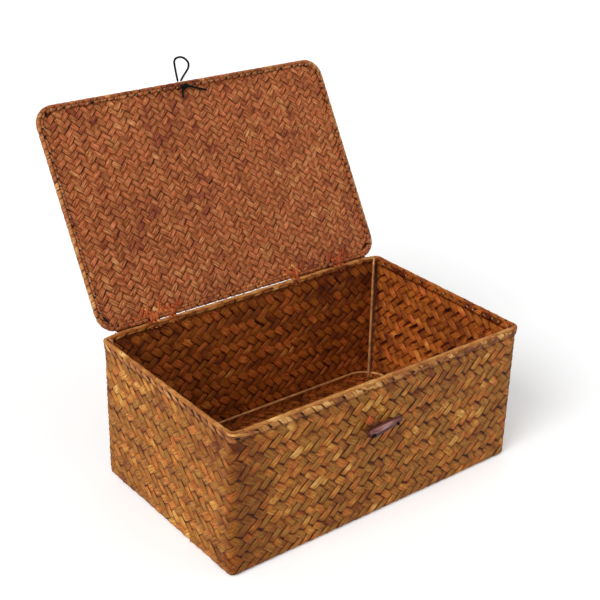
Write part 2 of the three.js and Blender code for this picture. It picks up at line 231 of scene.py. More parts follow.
WALL_PALETTE = [
    (0.08, (90, 40, 12)),
    (0.24, (120, 64, 20)),
    (0.4, (142, 86, 28)),
    (0.5, (136, 90, 32)),
    (0.6, (162, 88, 32)),
    (0.72, (170, 114, 42)),
    (0.88, (194, 142, 72)),
]
# The inner faces: redder and a little darker than the outer ones, partly as painted shade of the box's
# inside
INNER_PALETTE = [
    (0.16, (90, 36, 12)),
    (0.38, (128, 62, 20)),
    (0.52, (146, 78, 22)),
    (0.66, (164, 78, 30)),
    (0.84, (184, 112, 42)),
]
LID_PALETTE = [
    (0.12, (98, 40, 22)),
    (0.3, (130, 62, 32)),
    (0.44, (146, 82, 40)),
    (0.54, (160, 83, 43)),
    (0.66, (158, 95, 49)),
    (0.84, (190, 118, 66)),
]
LID_TOP_PALETTE = [
    (0.1, (96, 50, 34)),
    (0.32, (144, 82, 44)),
    (0.48, (166, 102, 52)),
    (0.62, (160, 108, 58)),
    (0.8, (196, 136, 82)),
]
RIM_PALETTE = [
    (0.2, (124, 70, 34)),
    (0.4, (160, 98, 46)),
    (0.6, (178, 122, 60)),
    (0.8, (214, 162, 96)),
]
TIE_PALETTE = [
    (0.2, (126, 50, 20)),
    (0.45, (162, 74, 34)),
    (0.65, (184, 96, 44)),
    (0.85, (198, 138, 78)),
]

# Scales per metre of the strips' patches, fibres and painted edge shadows, with how far a patch
# moves the palette
PATCHES = ((16.0, 0.65), (75.0, 0.7))
STRIP_PATCH = (46.0, 1.2)
FIBRE_SCALES = (110.0, 3.6)
RAGGED_SCALE = 160.0
EDGE_SHADOW_SCALE = 75.0
SPECK_SCALE = 900.0
STRIP_SPACING = 91.0

# The powers that turn the brightness of fibres, specks and painted light into red, green and
# blue, so that the darks are redder
SHADE_POWERS = (0.75, 1.1, 1.7)

# The (x, y) of a patch of painted shade on the front wall near its rounded left end, the reach
# over which it fades, and how dark it gets.
CORNER_SHADE_PLACE = (-0.14, -0.0905)
CORNER_SHADE_REACH = (0.005, 0.034)
CORNER_SHADE_LEVEL = 0.62


def strip_material(
    name, outer, inner=None, contrast=1.0, edge=0.8, streaks=0.5, patchy=1.0, corner_shade=None
):
    """Dried flat leaf: soft patches over the weave and along each strip, and lengthwise fibres,
    under painted light: a painted shadow along one edge, as strong as edge says, painted shade
    towards the sides and ends of each float, and painted highlights on its raised edge and middle.
    The last argument is the (x, y) of an upright patch of painted shade."""
    made, tree, shader = material(name)
    along = attribute(tree, "along")
    across = attribute(tree, "across")
    tone = attribute(tree, "tone")
    lift = attribute(tree, "lift")
    far = maths(tree, "MULTIPLY", tone, STRIP_SPACING)

    def along_strip(scale, other=0.0):
        """Noise that runs along a strip and differs from one strip to the next."""
        return noise(tree, vector(tree, maths(tree, "MULTIPLY", along, scale), far, other), 1.0)

    place = add(tree, "TexCoord").outputs["Object"]
    shade = ranged(tree, tone, 0.0, 1.0, 0.5 - 0.12 * contrast, 0.5 + 0.12 * contrast)
    patches = [(noise(tree, place, scale), share * patchy) for scale, share in PATCHES]
    for value, share in patches + [(along_strip(STRIP_PATCH[0]), STRIP_PATCH[1] * contrast)]:
        shade = maths(tree, "MULTIPLY_ADD", maths(tree, "SUBTRACT", value, 0.5), share, shade)
    colour = ramp(tree, shade, outer)
    if inner:
        facing = ranged(tree, attribute(tree, "side"), -0.3, 0.3, 1.0, 0.0)
        colour = blended(tree, facing, colour, ramp(tree, shade, inner))

    fibre_place = [
        maths(tree, "MULTIPLY", value, scale) for value, scale in zip((along, across), FIBRE_SCALES)
    ]
    fibres = noise(tree, vector(tree, *fibre_place, far), 1.0, 3.0, 0.7)
    # Painted shadow along the strip's low edge, where it lies under its neighbour's raised edge,
    # ragged and of changing strength along the strip
    ragged = maths(tree, "SUBTRACT", along_strip(RAGGED_SCALE, 7.0), 0.5)
    low_edge = maths(tree, "MULTIPLY_ADD", ragged, 0.8, across)
    edge_shadow_strength = ranged(tree, along_strip(EDGE_SHADOW_SCALE, 3.0), 0.36, 0.58, 0.25 * edge, edge)
    line = maths(tree, "MULTIPLY", ranged(tree, low_edge, 0.7, 0.92), edge_shadow_strength)
    grain_and_painted_light = maths(tree, "SUBTRACT", 1.0, line)
    # Painted shade on the front wall by its rounded left corner
    if corner_shade:
        away = add(tree, "VectorMath", {0: place, 1: (*corner_shade, 0)}, operation="SUBTRACT").outputs[0]
        flat = add(tree, "VectorMath", {0: away, 1: (1, 3, 0)}, operation="MULTIPLY").outputs[0]
        distance = add(tree, "VectorMath", {0: flat}, operation="LENGTH").outputs["Value"]
        corner_shading = ranged(tree, distance, *CORNER_SHADE_REACH, CORNER_SHADE_LEVEL, 1.0)
        grain_and_painted_light = maths(tree, "MULTIPLY", grain_and_painted_light, corner_shading)
    # Fibre streaks and fine specks are the leaf's own. The rest is painted light: painted shade
    # towards the sides, a painted highlight on the raised edge, painted shade at the float's ends
    # where the strip dives under, and a painted highlight on its middle.
    for share in (
        ranged(tree, fibres, 0.36, 0.64, 1 - 0.8 * streaks, 1 + streaks),
        maths(tree, "MULTIPLY_ADD", maths(tree, "MULTIPLY", across, across), -0.24, 1.08),
        ranged(tree, across, -1.0, -0.65, 1.4, 1.0),
        ranged(tree, lift, 0.0, 0.85, 0.24, 1.0),
        ranged(tree, lift, 0.8, 1.14, 0.84, 1.08),
        ranged(tree, noise(tree, place, SPECK_SCALE, 1.0), 0.35, 0.65, 0.84, 1.16),
    ):
        grain_and_painted_light = maths(tree, "MULTIPLY", grain_and_painted_light, share)
    channels = {k: maths(tree, "POWER", grain_and_painted_light, power) for k, power in enumerate(SHADE_POWERS)}
    shaded = add(tree, "CombineColor", channels).outputs[0]
    tree.links.new(blended(tree, 1.0, colour, shaded, "MULTIPLY"), shader.inputs["Base Color"])
    tree.links.new(ranged(tree, fibres, 0.3, 0.7, 0.66, 0.44), shader.inputs["Roughness"])
    shader.inputs["Specular IOR Level"].default_value = 0.15
    raised(tree, shader, fibres, 0.16 * MM, 0.9)
    return made


def plain_material(name, colour, roughness, metallic=0.0, grain=400.0, depth=0.02):
    """Paint or another even finish, with fine wear in its colour and height."""
    made, tree, shader = material(name, roughness)
    shader.inputs["Metallic"].default_value = metallic
    shader.inputs["Specular IOR Level"].default_value = 0.3
    place = add(tree, "TexCoord").outputs["Object"]
    wear = noise(tree, place, grain, 3.0)
    low = [0.72 * channel for channel in colour]
    shades = ramp(tree, wear, [(0.35, low), (0.65, colour)])
    tree.links.new(shades, shader.inputs["Base Color"])
    uneven = ranged(tree, wear, 0.3, 0.7, roughness + 0.08, roughness - 0.06)
    tree.links.new(uneven, shader.inputs["Roughness"])
    raised(tree, shader, wear, depth * MM)
    return made


def cord_material():
    """Braided elastic cord: crossing diagonal ribs worked out from its length and girth."""
    made, tree, shader = material("black_cord", 0.9)
    along = maths(tree, "MULTIPLY", attribute(tree, "along"), TURN / (1.6 * MM))
    around = maths(tree, "MULTIPLY", attribute(tree, "around"), 3 * TURN)
    one = maths(tree, "SINE", maths(tree, "ADD", along, around))
    two = maths(tree, "SINE", maths(tree, "SUBTRACT", along, around))
    braid = maths(tree, "MAXIMUM", one, two)
    # The grooves between the ribs are darker: painted shade
    colour = ramp(tree, ranged(tree, braid, -0.4, 1.0), [(0.0, (5, 5, 6)), (1.0, (22, 21, 22))])
    tree.links.new(colour, shader.inputs["Base Color"])
    shader.inputs["Specular IOR Level"].default_value = 0.12
    raised(tree, shader, braid, 0.12 * MM)
    return made


def toggle_material():
    """Dark turned wood with long grain under polish, and a painted highlight along its upper front."""
    made, tree, shader = material("toggle_wood", 0.42)
    place = add(tree, "TexCoord").outputs["Object"]
    stretched = add(tree, "Mapping", {"Vector": place, "Scale": (60, 420, 420)}).outputs[0]
    grain = noise(tree, stretched, 1.0, 4.0, 0.6)
    dark = maths(tree, "SUBTRACT", grain, 0.12)
    # Painted highlight over the grain
    shade = maths(tree, "MULTIPLY_ADD", attribute(tree, "painted_highlight"), 0.42, dark)
    stops = [(0.2, (34, 12, 10)), (0.4, (72, 34, 30)), (0.62, (110, 64, 58)), (0.86, (184, 144, 138))]
    tree.links.new(ramp(tree, shade, stops), shader.inputs["Base Color"])
    shader.inputs["Specular IOR Level"].default_value = 0.25
    shader.inputs["Coat Weight"].default_value = 0.12
    shader.inputs["Coat Roughness"].default_value = 0.3
    raised(tree, shader, grain, 0.03 * MM)
    return made


WALL_STRIPS = strip_material(
    "seagrass", WALL_PALETTE, INNER_PALETTE, contrast=0.9, edge=0.9, streaks=0.56, corner_shade=CORNER_SHADE_PLACE
)
LID_STRIPS = strip_material("lid_seagrass", LID_TOP_PALETTE, LID_PALETTE, 0.68, 1.0, 0.95, 0.66)
RIM_STRIPS = strip_material("rim_seagrass", RIM_PALETTE, INNER_PALETTE, 1.1, 0.8)
BAND_STRIPS = strip_material("band_seagrass", RIM_PALETTE, INNER_PALETTE, 0.7, 0.0, 0.4)
HEM_STRIPS = strip_material("hem_seagrass", LID_TOP_PALETTE, LID_PALETTE, 1.0, 0.8, 0.7, 0.6)
TIE_STRIPS = strip_material("lashing", TIE_PALETTE)
# Dark sheets in the gaps of the weave and at the lid's rear: painted shade
CORE_SHADE = plain_material("strip_core_painted_shade", (80, 38, 18), 0.9)
SHADOW = plain_material("strip_shadow", (40, 18, 12), 0.9)
BRONZE = plain_material("frame_wire", (196, 132, 76), 0.4, 0.2, 260.0)
THREAD = plain_material("thread", (186, 152, 116), 0.8)
CORD = cord_material()
WOOD = toggle_material()


# Meshes of strips and tubes


def linked(name, mesh, finish):
    item = bpy.data.objects.new(name, mesh)
    bpy.context.scene.collection.objects.link(item)
    mesh.materials.append(finish)
    return item


# How much of its own band each strip leaves free in the UV map, and where its ends lie there and
# how large
UV_MARGIN = 0.04
UV_ENDS = (0.001, 0.999)
UV_END_SHARE = 0.2


def strip_faces(points, closed, low, high):
    """A strip's faces as corner numbers, their sizes, and their UV places between two levels."""
    rings, sides = points.shape[:2]
    steps = rings if closed else rings - 1
    ring = np.arange(steps)[:, None]
    side = np.arange(sides)[None, :]
    here, there = ring * sides, (ring + 1) % rings * sides
    turn = (side + 1) % sides
    quads = np.stack([here + side, here + turn, there + turn, there + side], -1).reshape(-1, 4)
    steps_at, sides_at = (0, 0, 1, 1), (0, 1, 1, 0)
    u = np.stack([(ring + k) / steps + 0 * side for k in steps_at], -1)
    v = np.stack([low + (high - low) * (side + k) / sides + 0 * ring for k in sides_at], -1)
    uv = np.stack([u, v], -1).reshape(-1, 4, 2)
    ends = np.stack([np.arange(sides)[::-1], np.arange(sides) + (rings - 1) * sides])

    flat = points.reshape(-1, 3)
    a, b, c = (flat[quads[:, k]] for k in range(3))
    inside_out = np.einsum("ij,ij->i", a - flat.mean(0), np.cross(b - a, c - a)).sum() < 0
    if inside_out:
        quads, uv, ends = quads[:, ::-1], uv[:, ::-1], ends[:, ::-1]
    faces, sizes, places = [quads.reshape(-1)], [np.full(len(quads), 4)], [uv.reshape(-1, 2)]
    if not closed:
        angles = TURN * np.arange(sides) / sides
        spot = np.stack([np.cos(angles), np.sin(angles)], -1) * UV_END_SHARE * (high - low)
        faces.append(ends.reshape(-1))
        sizes.append(np.full(2, sides))
        places += [spot + [end, (low + high) / 2] for end in UV_ENDS]
    return [np.concatenate(parts) for parts in (faces, sizes, places)]


def strips_mesh(name, strips, finish, body, closed=False):
    """One mesh of many strips, each a closed surface, as a piece that rides on a body.

    Each strip is a dict: points is an array of (rings, sides, 3), and what else it holds is an
    array of (rings, sides) that becomes an attribute. A closed strip's last ring meets its first.
    """
    faces_at, sizes_at, uv_at, total = [], [], [], 0
    for row, strip in enumerate(strips):
        points = strip["points"]
        low, high = (row + UV_MARGIN) / len(strips), (row + 1 - UV_MARGIN) / len(strips)
        faces, sizes, uv = strip_faces(points, closed, low, high)
        faces_at.append(faces + total)
        sizes_at.append(sizes)
        uv_at.append(uv)
        total += points.shape[0] * points.shape[1]
    co = np.concatenate([strip["points"].reshape(-1, 3) for strip in strips])
    loops = np.concatenate(faces_at)
    sizes = np.concatenate(sizes_at)
    mesh = bpy.data.meshes.new(name)
    mesh.vertices.add(len(co))
    mesh.vertices.foreach_set("co", co.astype(np.float32).ravel())
    mesh.loops.add(len(loops))
    mesh.loops.foreach_set("vertex_index", loops.astype(np.int32))
    mesh.polygons.add(len(sizes))
    mesh.polygons.foreach_set("loop_start", (np.cumsum(sizes) - sizes).astype(np.int32))
    mesh.polygons.foreach_set("use_smooth", np.ones(len(sizes), bool))
    mesh.update(calc_edges=True)
    uv_map = mesh.uv_layers.new(name="OFBake")
    uv_map.data.foreach_set("uv", np.concatenate(uv_at).astype(np.float32).ravel())
    for key in strips[0]:
        if key != "points":
            data = np.concatenate([strip[key].reshape(-1) for strip in strips])
            made = mesh.attributes.new(key, "FLOAT", "POINT")
            made.data.foreach_set("value", data.astype(np.float32))
    mesh.validate()
    item = linked(name, mesh, finish)
    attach(item, body)
    return item


def leaf_strip(points, along, across, tone, lift=1.0, side=1.0):
    """A strip for strips_mesh, whose values may be single numbers or one for each point."""
    values = {"along": along, "across": across, "tone": tone, "lift": lift, "side": side}
    shape = points.shape[:2]
    return {"points": points} | {key: np.broadcast_to(values[key], shape) for key in values}


# Sections as (across, height) shares: a flat leaf for the weave, and a fuller one for folds
LEAF = np.array(
    [
        (-1, 0), (-0.84, 0.55), (-0.4, 0.92), (0.4, 0.92), (0.84, 0.55),
        (1, 0), (0.84, -0.55), (0.4, -0.92), (-0.4, -0.92), (-0.84, -0.55),
    ]
)
FOLD = np.array(
    [(-1, 0), (-0.72, 0.8), (0, 1), (0.72, 0.8), (1, 0), (0.72, -0.8), (0, -1), (-0.72, -0.8)]
)


def section(shape, rings):
    """Both coordinates of a section's points, each as an array of (rings, points)."""
    return np.broadcast_to(shape.T[:, None], (2, rings, len(shape)))


def lengths_of(path):
    """How far along a path each of its points lies."""
    return np.concatenate([[0], np.cumsum(np.linalg.norm(np.diff(path, axis=0), axis=1))])


def normals_of(path):
    """Unit normals to the left of a plane path of (out, up) points."""
    along = np.gradient(path, axis=0)
    left = np.stack([-along[:, 1], along[:, 0]], -1)
    return left / np.linalg.norm(left, axis=1, keepdims=True)


def to_world(points, matrix):
    array = np.array(matrix)
    return points @ array[:3, :3].T + array[:3, 3]


# Rounded rectangles, walked counter-clockwise from the middle of the front


class Plan:
    """An outline by its half sizes, corner radius and middle, with the lengths at its ten knots."""

    def __init__(self, half_x, half_y, radius, middle=(0, 0)):
        a, b, c = half_x - radius, half_y - radius, radius * math.pi / 2
        runs = [0, a, c, 2 * b, c, 2 * a, c, 2 * b, c, a]
        self.radius = radius
        self.knots = np.cumsum(runs)
        self.length = self.knots[-1]
        self.xs = np.array([0, a, a, a, a, -a, -a, -a, -a, 0])
        self.ys = np.array([-b, -b, -b, b, b, b, b, -b, -b, -b])
        self.angles = np.radians([-90, -90, 0, 0, 90, 90, 180, 180, 270, 270])
        self.half_x, self.half_y = half_x, half_y
        self.middle = np.array(middle)

    def around(self, steps):
        """That many even places along the outline."""
        return np.linspace(0, self.length, steps, endpoint=False)

    def at(self, along, out=0.0):
        """(x, y) that far along and outwards, and the outward direction."""
        along = np.asarray(along) % self.length
        angle = np.interp(along, self.knots, self.angles)
        outward = np.stack([np.cos(angle), np.sin(angle)], -1)
        reach = (self.radius + np.asarray(out))[..., None] * outward
        base = np.stack(
            [np.interp(along, self.knots, self.xs), np.interp(along, self.knots, self.ys)], -1
        )
        return base + reach + self.middle, outward

    def depth(self, x, y, inset):
        """How far inside the outline, moved in by inset, a point lies."""
        dx = np.abs(x - self.middle[0]) - (self.half_x - self.radius)
        dy = np.abs(y - self.middle[1]) - (self.half_y - self.radius)
        outside = np.hypot(np.maximum(dx, 0), np.maximum(dy, 0)) + np.minimum(np.maximum(dx, dy), 0)
        return self.radius - inset - outside


WALL_PLAN = Plan(
    WALL_HIGH.x + WALL_SWELL[0], WALL_HIGH.y + WALL_SWELL[1], WALL_RADIUS, WALL_SHIFT
)
LID_PLAN = Plan(LID_HALF_LENGTH, LID_WIDTH / 2, LID_RADIUS)
LID_MIDDLE_Y = HEM_HALF - LID_WIDTH / 2
BACK_RISE_RUN = 14 * MM
BACK_RISE_FROM = 100 * MM
BACK_RISE_HEIGHT = 20 * MM


def back_rise(along, up):
    """How much higher a place near the top stands along the back wall, close under the lid."""
    along = along % WALL_PLAN.length
    inside = np.minimum(along - WALL_PLAN.knots[4], WALL_PLAN.knots[5] - along)
    share = np.clip(inside / BACK_RISE_RUN, 0, 1)
    return BACK_RIM_RISE * share * np.clip((up - BACK_RISE_FROM) / BACK_RISE_HEIGHT, 0, 1)


def wall_surface(along, up):
    """Middle of the wall's weave: straight above, and turned in under the box below."""
    bend_top = UNDERSIDE + TURN_RADIUS
    angle = np.clip((bend_top - up) / TURN_RADIUS, 0, math.pi / 2)
    under = np.maximum(bend_top - TURN_RADIUS * math.pi / 2 - up, 0)
    out = -TURN_RADIUS * (1 - np.cos(angle)) - under
    height = np.where(up > bend_top, up, bend_top - TURN_RADIUS * np.sin(angle))
    height = height + back_rise(along, up)
    place, outward = WALL_PLAN.at(along, out)
    points = np.concatenate([place, height[..., None]], -1)
    normals = np.concatenate([outward * np.cos(angle)[..., None], -np.sin(angle)[..., None]], -1)
    return points, normals


def flat_surface(height, facing):
    def surface(x, y):
        points = np.stack([x, y, np.full_like(x, height)], -1)
        normals = np.zeros_like(points)
        normals[..., 2] = facing
        return points, normals

    return surface


# The weave. Strips of two families cross on a lattice, and each passes over two and under two.
# A phase is a place along a strip, in crossings. A float is the run of a strip over two others,
# and FLOAT_HEIGHTS are its heights at FLOAT_PLACES. Spreads are in pitches for a strip's shift,
# and otherwise shares of a float's height, a strip's width and its lean.

FLOAT_PLACES = np.array([0, 0.16, 0.5, 1.0, 1.5, 1.84])
FLOAT_HEIGHTS = np.array([0, 0.78, 1.0, 1.14, 1.0, 0.78])
FLOAT_SPREAD = 0.14
SHIFT_SPREAD = 0.035
WIDTH_SPREAD = 0.05
LEAN_SPREAD = 0.3
WANDER = 0.05
WAIST = 0.06
EDGE_SHADOW_SHARE = 0.9
TONES = ((0, 0.8), (0.2, 1))
END_ROOM = 0.08


def float_height(phase):
    """Offset share of a first-family strip, over the other for phases -0.5 to 1.5 of each 4."""
    local = (phase + 0.5) % 4
    places = np.append(FLOAT_PLACES, 2)
    heights = np.append(FLOAT_HEIGHTS, 0)
    return np.interp(local % 2, places, heights) * np.where(local < 2, 1, -1)


def weave_family(
    first, indices, ranges, half_x, half_y, columns, width_of, surface, warp, offset, thickness, lean
):
    """Strips of one family. columns says that the floats line up in columns, not in rows.

    width_of gives their width in pitches, and how strong the painted shadow line is where a
    strip goes under the next of its family. Each strip leans a little to one side, so that its
    raised edge lies over its neighbour's low one.
    """
    strips = []
    step = math.hypot(half_x, half_y)
    for index, (low, high) in zip(indices, ranges):
        marks = np.arange(math.floor(low / 2) - 1, math.ceil(high / 2) + 2) * 2 - 0.5
        phases = (marks[:, None] + FLOAT_PLACES).ravel()
        phases = phases[(phases > low + END_ROOM) & (phases < high - END_ROOM)]
        phases = np.concatenate([[low], phases, [high]])
        if columns:
            running = phases - index
        else:
            running = index - phases if first else index + phases
        shift = random.normal(0, SHIFT_SPREAD)
        wide = 1 + random.normal(0, WIDTH_SPREAD)
        wave = random.uniform(0, TURN)
        which = ((phases + 0.5) // 2).astype(int)
        which -= which[0]
        fullness = (1 + random.normal(0, FLOAT_SPREAD, which[-1] + 1))[which][:, None]
        own_lean = (1 + random.normal(0, LEAN_SPREAD, which[-1] + 1))[which][:, None]
        sides, level = section(LEAF, len(phases))
        run = running[:, None] * np.ones_like(sides)
        x_mid = (index + run) * half_x
        y_mid = (index - run) * half_y * (1 if first else -1)
        wander = WANDER * np.sin(run * 0.45 + wave)
        width, line = width_of(first, x_mid, y_mid)
        width = width * wide * (1 + WAIST * np.sin(run * 0.8 + 2 * wave))
        fixed = index + shift + wander + sides * width / 2
        i, j = (fixed, run) if first else (run, fixed)
        x, y = (i + j) * half_x, (i - j) * half_y
        x, y = warp(x, y)
        points, normals = surface(x, y)
        rise = float_height(phases)[:, None] * (1 if first else -1)
        away = offset(y) if callable(offset) else offset
        height = rise * fullness * away + level * thickness / 2 - sides * own_lean * lean
        start = random.uniform(0, 10)
        tone = random.uniform(*TONES[0 if first else 1])
        # On its low side, across is stretched by the strength of the painted edge shadow, which the
        # material reads
        across = np.where(sides > 0, sides * line * EDGE_SHADOW_SHARE * width / (2 - width), sides)
        points = points + normals * height[..., None]
        # lift, the share of a float's height, sets its painted shade at the ends and painted highlight
        # in the middle
        strips.append(leaf_strip(points, run * step + start, across, tone, np.abs(rise), level))
    return strips


def waves(x, y, terms):
    """A sum of waves, each as (height, turning with x, turning with y, start)."""
    return sum(height * np.sin(by_x * x + by_y * y + start) for height, by_x, by_y, start in terms)


def wall_warp(x, y):
    """Small unevenness of the rows and columns, the same again after one way round."""
    share = TURN * x / WALL_PLAN.length
    shift_x = waves(share, y, ((0.7, 9, 45, 0), (0.5, 31, -90, 2))) * MM
    shift_y = waves(share, y, ((0.6, 7, 0, 1), (0.5, 27, 60, 0))) * MM
    fade = np.clip((WALL_HIGH.z - y) / WALL_UNEVEN_FADE, 0, 1)
    return x + shift_x, y + shift_y * fade


def flat_warp(x, y):
    """The same for the flat panels."""
    shift_x = waves(x, y, ((0.7, 38, 60, 0), (0.5, 70, 110, 1))) * MM
    shift_y = waves(x, y, ((0.7, 52, 0, 1), (0.5, 130, -80, 0))) * MM
    return x + shift_x, y + shift_y


# Width in pitches and strength of the painted edge shadow of each family's strips, each with
# what is added on the back wall and on the left wall
WALL_WIDTHS = (((1.28, -0.28, -0.08), (1.05, 0, 0.15)), ((0.98, 0.16, 0.06), (0.95, 0, -0.15)))
BACK_FADE = 30 * MM
FRONT_FADE = 10 * MM


def wall_strips():
    half_x = WALL_PLAN.length / WALL_COLUMNS / 2
    half_y = WALL_ROW_HEIGHT / 4
    low = (WALL_STRIP_LOW - WALL_ROW_START) / half_y
    high = (WALL_STRIP_HIGH - WALL_ROW_START) / half_y

    def width_of(first, x, y):
        """Wide strips of the first family in front and on the right, of the other elsewhere, each with
        the strength of its painted edge shadow.
        """
        along = x % WALL_PLAN.length
        back = np.clip((along - WALL_PLAN.knots[4]) / BACK_FADE, 0, 1)
        left = np.clip((along - WALL_PLAN.knots[6] + BACK_FADE) / BACK_FADE, 0, 1)
        front = np.clip((along - WALL_PLAN.knots[7]) / FRONT_FADE, 0, 1)
        back, left = back * (1 - front), left * (1 - front)
        return tuple(a + b * back + c * left for a, b, c in WALL_WIDTHS[0 if first else 1])

    def surface(x, y):
        return wall_surface(x, y + WALL_ROW_START)

    def offset(y):
        """Further apart near the top, where the strips go round the rim's wire."""
        above = y + WALL_ROW_START - (RIM_WIRE_Z - RIM_SPREAD_BELOW)
        return STRIP_OFFSET + RIM_SPREAD * np.clip(above / RIM_SPREAD_RUN, 0, 1)

    ranges = [(low, high)] * WALL_COLUMNS
    for first, name in ((True, "wall_strips_falling"), (False, "wall_strips_rising")):
        strips = weave_family(
            first, range(WALL_COLUMNS), ranges, half_x, half_y, False, width_of, surface, wall_warp,
            offset, STRIP_THICKNESS, STRIP_TILT,
        )
        strips_mesh(name, strips, WALL_STRIPS, "box")
    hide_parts("woven_wall")


def clipped(plan, inset, index, half_x, half_y, first, columns):
    """Phases between which a strip lies inside a plan, or nothing if it misses it."""
    reach = int(2 * (plan.half_x / half_x + plan.half_y / half_y))
    phases = np.linspace(-reach, reach, 16 * reach + 1)
    if columns:
        running = phases - index
    else:
        running = index - phases if first else index + phases
    x = (index + running) * half_x
    y = (index - running) * half_y * (1 if first else -1)
    depth = plan.depth(x, y, inset)
    inside = np.nonzero(depth > 0)[0]
    if len(inside) < 24:
        return None
    ends = []
    for at, step in ((inside[0], -1), (inside[-1], 1)):
        share = depth[at] / (depth[at] - depth[at + step])
        ends.append(phases[at] + share * (phases[at + step] - phases[at]))
    return tuple(ends)


def panel_strips(
    names, plan, inset, half_x, half_y, columns, shares, surface, finish, body, sizes
):
    """A flat weave inside a plan, its two families as one mesh each. shares are their widths."""
    reach = int(plan.half_x / half_x + plan.half_y / half_y)
    made = []
    for first, name in zip((True, False), names):
        found = {}
        for index in range(-reach, reach + 1):
            span = clipped(plan, inset, index, half_x, half_y, first, columns)
            if span:
                found[index] = span

        def width_of(is_first, x, y):
            return shares[0 if is_first else 1], 1.0

        strips = weave_family(
            first, found, found.values(), half_x, half_y, columns, width_of, surface, flat_warp, *sizes
        )
        made.append(strips_mesh(name, strips, finish, body))
    return made


def base_strips():
    half_x = WALL_PLAN.length / WALL_COLUMNS / 2
    half_y = WALL_ROW_HEIGHT / 4
    made = panel_strips(
        ("base_strips_falling", "base_strips_rising"), WALL_PLAN, BASE_INSET, half_x, half_y, False,
        (1.08, 0.92), flat_surface(UNDERSIDE, -1), WALL_STRIPS, "box",
        (STRIP_OFFSET, STRIP_THICKNESS, STRIP_TILT),
    )
    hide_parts("woven_base")


def lid_surface(x, y):
    points, normals = flat_surface(0.0, 1)(x, y + LID_MIDDLE_Y)
    turned = to_world(points, LID_AT_REST)
    return turned, normals @ np.array(LID_AT_REST)[:3, :3].T


def lid_strips():
    made = panel_strips(
        ("lid_strips_falling", "lid_strips_rising"), LID_PLAN, LID_INSET, LID_HALF_COLUMN,
        LID_HALF_ROW, True, (1.04, 0.96), lid_surface, LID_STRIPS, "lid",
        (LID_STRIP_OFFSET, LID_STRIP_THICKNESS, LID_STRIP_TILT),
    )
    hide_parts("lid_panel")


# A thin dark layer between the two layers of strips, which closes the pinholes at their corners;
# its dark colour is painted shade in the gaps between the strips

CORE_HALF = 0.05 * MM
CORE_LEVELS = np.array([-5, -2.6, -1.2, 0.2, 1.4, 2.6, 3.6, 40, 80, 127]) * MM
CORE_MIDDLE_SHARE = 0.02
BASE_CORE_INSET = 3.6 * MM
LID_CORE_INSET = 4.6 * MM


def wall_core():
    around = WALL_PLAN.around(144)
    both = np.concatenate([CORE_LEVELS, CORE_LEVELS[::-1]])
    side = np.repeat([1, -1], len(CORE_LEVELS))
    along = np.broadcast_to(around[:, None], (len(around), len(both)))
    points, normals = wall_surface(along, np.broadcast_to(both, along.shape))
    sheet = {"points": points + normals * (side * CORE_HALF)[None, :, None]}
    strips_mesh("wall_core", [sheet], CORE_SHADE, "box", True)


def flat_core(name, plan, inset, surface, body):
    """A thin plate inside a plan, as rings that close to its middle line."""
    place, _ = plan.at(plan.around(96), -inset)
    layers = []
    for share, side in ((CORE_MIDDLE_SHARE, 1), (1, 1), (1, -1), (CORE_MIDDLE_SHARE, -1)):
        points, normals = surface(place[:, 0] * share, place[:, 1] * share)
        layers.append(points + normals * side * CORE_HALF)
    strips_mesh(name, [{"points": np.stack(layers, 1)}], CORE_SHADE, body, True)


# Folds of the strips' ends over the rim and round the lid's edge. Spreads are in pitches for a
# fold's place, and otherwise shares of its first end, width, slope and lean.

# Lift values along each fold for its painted shade: darker at both ends, where it goes under
FOLD_SHADE_LIFTS = ([0, 0.05, 0.95, 1], [0.3, 1, 1, 0.3])
FOLD_PLACE_SPREAD = 0.07
FOLD_END_SPREAD = 0.16
FOLD_WIDTH_SPREAD = 0.1
FOLD_SLOPE_SPREAD = 0.07
FOLD_LEAN_SPREAD = 0.25
LINING_HALF = 0.1 * MM

STITCH_BULGE = np.array([0, 0.8, 1, 0.8, 0]) * 0.45 * MM
STITCH_SLOPE = 0.6
STITCH_PLACE_SPREAD = 0.09
STITCH_LENGTH_SPREAD = 0.25
STITCH_ASIDE_SPREAD = 0.4 * MM
STITCH_MISSING_SHARE = 0.2


